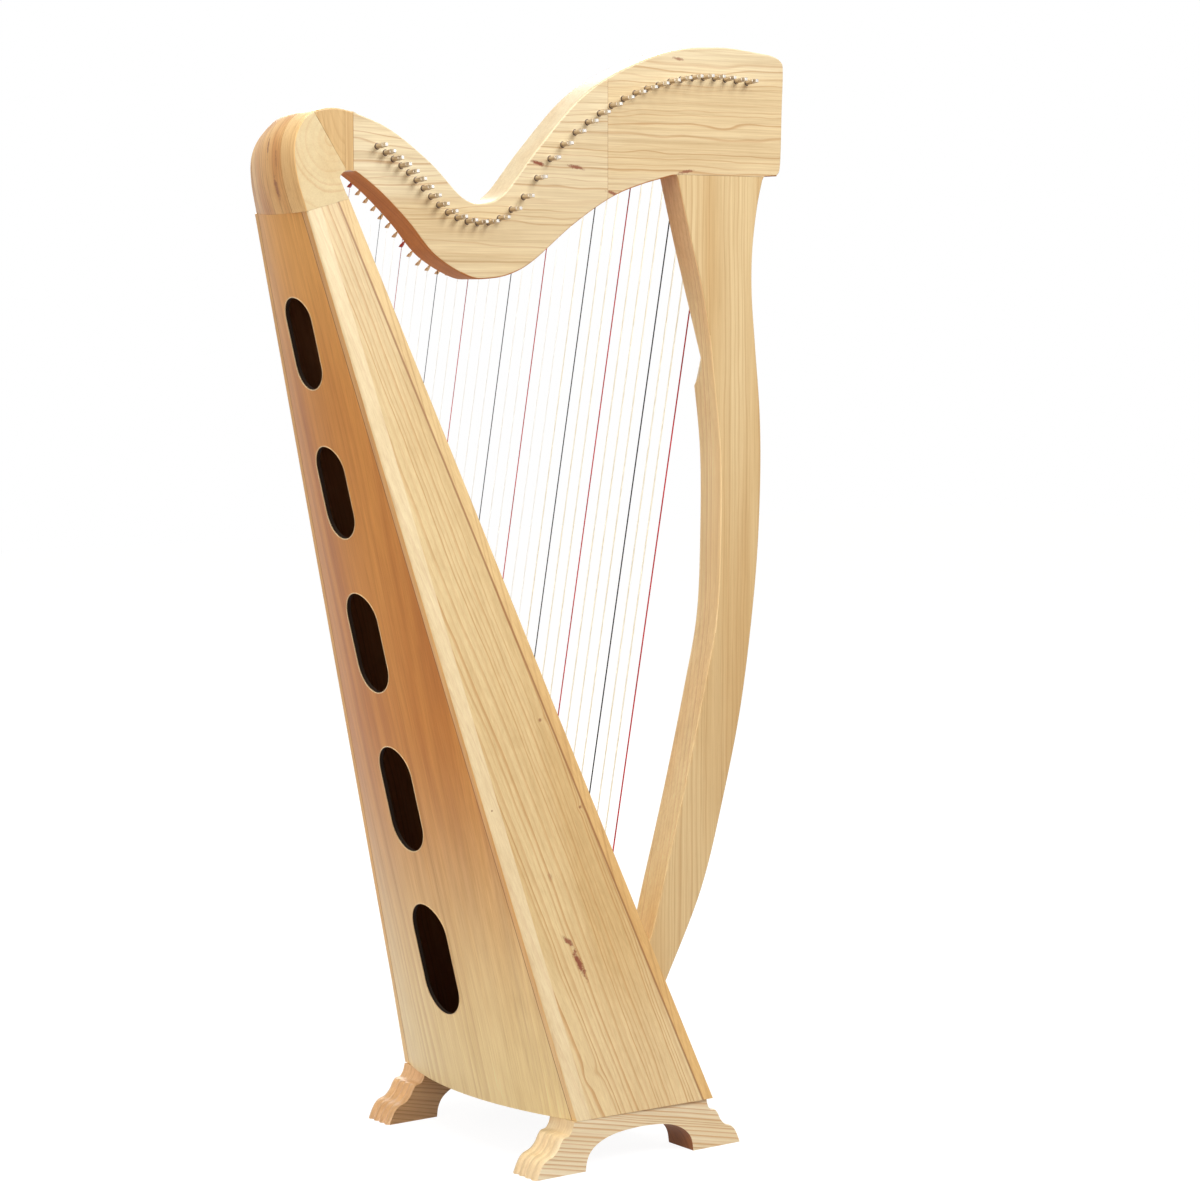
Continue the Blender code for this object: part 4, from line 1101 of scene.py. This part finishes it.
def drawnGauge(number):
    return gauge(number) * mix(*strings["drawn"], (number - 1) / (strings["count"] - 1))


def bridgePlace(number):
    z = pivotPlace(number).z + strings["bridgeAbove"]
    return Vector((stringX(number, z) - strings["bridgeRadius"] - gauge(number) - box["gap"], 0, z))


def windingHeight(number):
    return pins[number].y + neck["right"] * math.tan(strings["pinTilt"])


boxLean = (box["soleFront"].x - box["seamFront"].x) / (box["seamFront"].z - box["soleFront"].z)


def ribFace(number, proud):
    # Where a string meets the front of the rib
    footX, footZ, slope = lines[number]
    edge = box["soleFront"].x + proud + boxLean * box["soleFront"].z
    z = (edge - footX + slope * footZ) / (slope + boxLean)
    return Vector((stringX(number, z), 0, z))


def makeStrings():
    # One red and one black string in every octave; the lowest of the others are wound
    red, black = [[n for n in numbers if n % strings["octave"] == strings[key]] for key in ("red", "black")]
    plain = [n for n in numbers if n not in red + black]
    groups = (("red", redString, red),
              ("black", blackString, black),
              ("clear", clearString, [n for n in plain if n < strings["firstWound"]]),
              ("bass", bassString, [n for n in plain if n >= strings["firstWound"]]))
    turns, length, start = strings["coil"]
    for name, finish, members in groups:
        points, edges, gauges = [], [], []
        for number in members:
            bend = bridgePlace(number).z
            edges += [(len(points), len(points) + 1), (len(points) + 1, len(points) + 2)]
            points += [ribFace(number, strings["eyelet"]), Vector((stringX(number, bend), 0, bend)),
                       Vector((pins[number].x + strings["pinRadius"] + gauge(number) * strings["wind"], 0,
                               windingHeight(number)))]
            gauges += [drawnGauge(number)] * 3
        paths = seeds(points, edges, "gauge", "FLOAT", gauges)
        grow(name + "Strings", paths, wireTree, {"Sides": 8}, finish)
        wire = gauge(members[len(members) // 2])
        spots = [Vector((pins[n].x, start, windingHeight(n))) for n in members]
        grow(name + "Windings", seeds(spots, [], "turn", "FLOAT_VECTOR", []), windingTree,
             {"Turns": turns, "Coil Radius": strings["pinRadius"] + wire, "Coil Length": length,
              "Wire Radius": wire}, finish)


def makeTuningPins():
    r, square = strings["pinRadius"], strings["pinSquare"]
    inner, outer = neck["left"] - neck["right"] + strings["pinLeft"], strings["pinOut"]
    end = outer + strings["pinHead"]
    shank = turned("shank", ((r * 0.8, -inner - 0.0003), (r, -inner), (r, 0.0), (r, outer - 0.0016),
                             (r * 0.95, outer - 0.0006), (r * 0.80, outer)), 16)
    tip = skin("tip", [[Vector((k * x, k * y, z)) for x, y in ((1, 1), (-1, 1), (-1, -1), (1, -1))]
                       for k, z in ((square * 1.05, outer - 0.0004), (square, end - 0.0006),
                                    (square * 0.78, end))])
    # A thin dark ring round each pin where it leaves the neck, a painted shadow
    rim = turned("rim", ((r * 1.28, -0.0010), (r * 1.28, 0.0001), (r * 1.05, 0.0002)), 16)
    places = [Vector((pins[n].x, neck["right"], pins[n].y)) for n in numbers]
    turns = [(math.radians(90) - strings["pinTilt"], 0, 0)] * len(places)
    scatter("pinHoleRims", rim, places, [(math.radians(90), 0, 0)] * len(places), pinShadowDark)
    scatter("tuningPins", shank, places, turns, nickel)
    scatter("tuningPinEnds", tip, places, turns, nickelTip)


def makeBridgePins():
    r = strings["bridgeRadius"]
    depth = -neck["left"]
    pin = turned("bridge", ((r, -0.004), (r, depth - 0.0014), (r * 0.86, depth - 0.0006),
                            (r * 0.86, depth + 0.0006), (r, depth + 0.0014), (r * 0.7, depth + 0.0022)), 14)
    places = [Vector((bridgePlace(n).x, neck["left"], bridgePlace(n).z)) for n in numbers]
    scatter("bridgePins", pin, places, [(math.radians(-90), 0, 0)] * len(places), brassDull)


makeStrings()
makeTuningPins()
makeBridgePins()
print("strings and pins made")


# Sharping levers

lever = {
    "rest": math.radians(261),         # the handle's direction when down, and its way up
    "travel": math.radians(65),
    "plate": (0.0038, 0.0062, 0.0012),   # half width, reach and thickness
    "plateRound": 0.0016,
    "screwUp": 0.0046,
    "hub": 0.0032,
    "hubTop": -0.0013,
    "camFaces": math.radians(171),     # at the end of the travel, towards the string
    "cam": ((-0.0008, -0.0019), (0.0018, -0.0017), (0.0026, -0.0009), (0.0028, 0.0),
            (0.0026, 0.0009), (0.0018, 0.0017), (-0.0008, 0.0019)),
    "camSides": (-0.0030, 0.0012),
    # distance from the pivot, half width, near and far face
    "handle": ((-0.0010, 0.0012, -0.0058, -0.0022), (0.0032, 0.0015, -0.0044, -0.0010),
               (0.0052, 0.0012, -0.0016, 0.0012), (0.0066, 0.0016, 0.0006, 0.0032),
               (0.0090, 0.0025, 0.0034, 0.0056), (0.0110, 0.0029, 0.0056, 0.0076),
               (0.0124, 0.0026, 0.0074, 0.0088)),
}


def acrossNeck(profile, y, sides):
    # Turned piece with its axis square to the neck
    mesh = turned("knob", profile, sides)
    for vertex in mesh.vertices:
        vertex.co = (vertex.co.x, y + vertex.co.z, vertex.co.y)
    return mesh


def leverMesh():
    hubLow, hubTop, hub = neck["left"] + lever["plate"][2] + box["gap"], lever["hubTop"], lever["hub"]
    long = hubTop - hubLow
    out = Vector((math.cos(lever["rest"]), 0, math.sin(lever["rest"])))
    side = Vector((-out.z, 0, out.x))
    circle = [2 * math.pi * i / 14 for i in range(14)]
    rings = [[out * reach + side * half * math.cos(a) + sideways * mix(near, far, 0.5 + 0.5 * math.sin(a))
              for a in circle] for reach, half, near, far in curveThrough(lever["handle"], 4)]
    camAngle = lever["camFaces"] - lever["travel"]
    camOut = Vector((math.cos(camAngle), 0, math.sin(camAngle)))
    camSide = Vector((-camOut.z, 0, camOut.x))
    cam = [[camOut * r + camSide * s + sideways * y for r, s in lever["cam"]] for y in lever["camSides"]]
    return joined("lever", (
        acrossNeck(((hub, 0), (hub, long - 0.0005), (hub - 0.0005, long)), hubLow, 20),
        skin("handle", rings), skin("cam", cam),
        acrossNeck(((0.0013, 0), (0.0013, 0.0009), (0.0009, 0.0013)), hubTop - 0.0002, 14)))


def makeLevers():
    master = leverMesh()
    for number in numbers:
        mesh = master.copy()
        spot = pivotPlace(number)
        for vertex in mesh.vertices:
            vertex.co += spot
        red = number % strings["octave"] == strings["red"]
        addPiece(f"lever{number:02d}", mesh, (redLever if red else brass,),
                 body=f"turning_lever_{number:02d}", stands=(f"lever_{number:02d}",))


def makeLeverPlates():
    half, reach, thick = lever["plate"]
    r = lever["plateRound"]
    outline = []
    for cx, top, start in ((1, reach, 0), (-1, reach, 90), (-1, -reach * 0.7, 180), (1, -reach * 0.7, 270)):
        for i in range(5):
            a = math.radians(start + 90 * i / 4)
            outline.append((cx * (half - r) + r * math.cos(a),
                            top - math.copysign(r, top) + r * math.sin(a)))
    plate = skin("plate", [[Vector((x * k, y, z * k)) for x, z in outline]
                           for k, y in ((1, -0.002), (1, thick - 0.0003), (0.95, thick))])
    screw = turned("screw", ((0.0012, 0), (0.0012, 0.0004), (0.0008, 0.0007)), 12)
    places, turns, heads = [], [], []
    for n in numbers:
        lean, pivot = math.atan(lines[n][2]), pivotPlace(n)
        places.append(Vector((pivot.x, neck["left"], pivot.z)))
        turns.append((0, lean, 0))
        up = Vector((math.sin(lean), 0, math.cos(lean))) * lever["screwUp"]
        heads.append(places[-1] + up + sideways * thick)
    scatter("leverPlates", plate, places, turns, brassDull)
    scatter("plateScrews", screw, heads, [(math.radians(-90), 0, 0)] * len(heads), steel)


makeLevers()
makeLeverPlates()
print("levers made")


# String rib with its eyelets

ribWood = wood("ribMaple", turn=alongFront, rings=260, pale=(214, 168, 112), warm=(190, 138, 84))


def makeStringRib():
    edge, depth = strings["ribEdge"], strings["ribDepth"]
    rings = []
    for share in strings["ribShares"]:
        half = mix(*strings["ribHalf"], share)
        low, high = boxSpot("front", strings["ribInset"], share), boxSpot("front", -depth, share)
        bend = low.lerp(high, strings["ribBend"])
        corners = ((low, -half), (low, half), (bend, half), (high, half - edge), (high, edge - half),
                   (bend, -half))
        rings.append([Vector((p.x, y, p.z)) for p, y in corners])
    addPiece("stringRib", skin("rib", rings), (ribWood,), stands=("string_rib",), keen=30)
    eyelet = turned("eyelet", ((0.0022, -0.001), (0.0022, 0.0004), (0.0018, 0.0008), (0.0010, 0.0008),
                               (0.0009, 0.0002)), 14)
    lean = math.atan(boxLean)
    places = [ribFace(n, depth / math.cos(lean)) for n in numbers]
    scatter("eyelets", eyelet, places, [(0, math.radians(90) - lean, 0)] * len(places), brassDull)


makeStringRib()


# Feet

foot = {
    "outer": {-1: 0.186, 1: 0.191},    # right and left, from the strings
    "width": 0.050,
    "back": -0.0525,                   # roots of the rear and the front toes
    "front": 0.1490,
    "frontReach": 0.97,                # the front toes stand out a little less than the rear ones
    "toes": 4,
    "groove": 0.0030,
    # reach beyond the root, height, share of the grooving
    "toe": ((0.0000, 0.0631, 0.0), (0.0022, 0.0545, 0.0), (0.0070, 0.0478, 0.1), (0.0135, 0.0466, 0.6),
            (0.0185, 0.0452, 1.0), (0.0225, 0.0400, 1.0), (0.0262, 0.0330, 1.0), (0.0335, 0.0258, 1.0),
            (0.0430, 0.0222, 1.0), (0.0492, 0.0172, 1.0), (0.0540, 0.0090, 1.0), (0.0580, 0.0000, 1.0)),
    "arch": ((-0.0354, 0.0000), (-0.0332, 0.0130), (-0.0262, 0.0248), (-0.0110, 0.0345),
             (0.0130, 0.0408), (0.0460, 0.0430), (0.0780, 0.0414), (0.1010, 0.0362),
             (0.1180, 0.0264), (0.1262, 0.0150), (0.1290, 0.0000)),
}


# The feet's sides show long grain, their toes end grain
planks = {"turn": (0, -12, 0), "rings": 205, "waver": 0.004, "vary": (-0.3, 0.45)}
ends = {"turn": upright, "heart": (0.90, 0.10), "rings": 180, "waver": 0.004}
footWood = wood("footAsh", heart=(0.10, -0.60), lineDepth=0.75, pale=(252, 242, 212), warm=(244, 224, 180),
                line=(212, 162, 98), **planks)
# Darker, warmer copies of the foot woods for the left foot: painted shade from the box above it
shadedFarFootWood = wood("shadedFarFootAsh", heart=(-0.20, -0.60), lineDepth=0.65, pale=(240, 202, 152),
                   warm=(224, 180, 126), line=(184, 132, 80), **planks)
toeWood = wood("toeAsh", lineDepth=0.30, pale=(240, 222, 184), warm=(232, 206, 160),
               line=(196, 148, 90), **ends)
# Painted shade on the left foot's toes as well
shadedFarToeWood = wood("shadedFarToeAsh", lineDepth=0.35, pale=(236, 194, 142), warm=(220, 172, 118),
                  line=(180, 126, 76), **ends)
# Dark red-brown for the faces under the arch of each foot: painted shade
shadedArchWood = wood("shadedArchAsh", turn=(0, -12, 0), heart=(0.90, -0.60), rings=180, waver=0.004, lineDepth=0.4,
                coat=0.0, gloss=0.6, pale=(184, 122, 74), warm=(160, 100, 56), line=(122, 72, 38))


def makeFoot(name, hand, node, finishes):
    toe = curveThrough(foot["toe"], 3)
    arch = curveThrough(foot["arch"], 4)
    slices = 12 * foot["toes"]
    rings = []
    for i in range(slices + 1):
        share = i / slices
        cut = foot["groove"] * (1 - abs(math.sin(math.pi * foot["toes"] * share)))
        back = [Vector((foot["back"] - p[0] + cut * p[2], p[1])) for p in toe]
        front = [Vector((foot["front"] + p[0] * foot["frontReach"] - cut * p[2], p[1])) for p in toe]
        y = hand * (foot["outer"][hand] - foot["width"] * (1 - share))
        rings.append([Vector((p.x, y, p.y)) for p in back + arch + front[::-1]])
    mesh = skin(name, rings)
    for face in mesh.polygons:
        place = face.index % len(rings[0])
        if face.index < len(rings[0]) * slices:
            # Faces of the arch take the painted-shade finish, the rest of the outline the end grain
            face.material_index = 1 if len(back) <= place < len(back) + len(arch) - 1 else 2
    addPiece(name, mesh, finishes, stands=(node,), keen=38)


makeFoot("rightFoot", -1, "foot_right", (footWood, shadedArchWood, toeWood))
# The left foot takes the painted-shade copies
makeFoot("leftFoot", 1, "foot_left", (shadedFarFootWood, shadedArchWood, shadedFarToeWood))
print("feet made")


# Room, light and camera

stage = {
    "sky": (1.0, 0.93, 0.84),          # colour and strength of the light from all around
    "skyPower": 0.40,
    "floorSize": 9.0,
    "floorShade": (0.27, 0.16, 0.09),  # what the floor gives back to the harp
    "floorWhite": 0.92,
    "floorGlow": 1.16,                 # near white for the camera, with a faint contact shadow
    "glowShare": 0.80,
    "eye": (-2.2804, -3.2881, 1.0486),   # the camera's place, as the shapes are drawn
    "aim": (84.7, 0, -36.15),          # the camera's turn in degrees
    "lens": 97.11,
    "film": 36,
    # name, place, target, size, power, colour, beam in degrees
    "lamps": (("key", (1.2, -3.2, 3.0), (0.0, 0.0, 0.7), 1.8, 99, (1.0, 1.0, 1.0), 180),
              ("above", (-0.9, -0.5, 3.9), (0.0, 0.0, 1.0), 1.6, 40, (1.0, 1.0, 1.0), 180),
              ("fill", (-3.2, -1.2, 2.4), (0.1, 0.0, 0.7), 2.2, 30, (1.0, 0.88, 0.72), 180),
              ("low", (-2.4, -0.3, 0.60), (-0.15, 0.0, 0.20), 0.8, 1.6, (1.0, 0.95, 0.86), 60),
              ("far", (1.8, 3.0, 2.2), (0.0, 0.0, 0.6), 2.2, 40, (1.0, 0.95, 0.88), 180)),
}


def whiteRays(nodes):
    # One for the rays that see the room itself white
    rays = nodes.node("ShaderNodeLightPath").outputs
    seen = nodes.calc("MAXIMUM", rays["Is Camera Ray"], rays["Is Glossy Ray"])
    return nodes.calc("MAXIMUM", seen, rays["Is Transmission Ray"])


def makeFloor():
    bm = bmesh.new()
    bmesh.ops.create_grid(bm, x_segments=1, y_segments=1, size=stage["floorSize"])
    floor = placed("floor", toMesh("floor", bm))
    s = Shader("floorPaper")
    seen = whiteRays(s)
    white = (*[stage["floorWhite"]] * 3, 1)
    s.dress({"Base Color": s.blend(seen, (*stage["floorShade"], 1), white), "Roughness": 0.9,
             "Specular IOR Level": 0.1})
    glow = s.node("ShaderNodeEmission", {"Strength": stage["floorGlow"]})
    mixed = s.node("ShaderNodeMixShader", {0: s.times(seen, stage["glowShare"]), 1: s.surface.outputs[0],
                                           2: glow.outputs[0]})
    s.feed(s.tree.nodes["Material Output"].inputs["Surface"], mixed.outputs[0])
    floor.data.materials.append(s.material)


def makeSky():
    world = bpy.data.worlds.new("room")
    scene.world = world
    world.use_nodes = True
    w = Nodes(world.node_tree)
    sky = (*[part * stage["skyPower"] for part in stage["sky"]], 1)
    w.feed(world.node_tree.nodes["Background"].inputs["Color"], w.blend(whiteRays(w), sky, (1, 1, 1, 1)))


def makeLamp(name, place, target, size, power, colour, beam):
    data = bpy.data.lights.new(name, "AREA")
    data.shape = "DISK"
    data.size = size
    data.energy = power
    data.color = colour
    data.spread = math.radians(beam)
    lamp = placed(name, data)
    lamp.location = place
    lamp.rotation_euler = (Vector(target) - Vector(place)).to_track_quat("-Z", "Y").to_euler()


def makeCamera():
    data = bpy.data.cameras.new("camera")
    data.sensor_width = stage["film"]
    data.lens = stage["lens"]
    camera = placed("camera", data)
    camera.location = Vector(stage["eye"]) + shift
    camera.rotation_euler = [math.radians(angle) for angle in stage["aim"]]
    scene.camera = camera


makeFloor()
makeSky()
for lamp in stage["lamps"]:
    makeLamp(*lamp)
makeCamera()
scene.view_settings.view_transform = "Standard"
print("stage set")
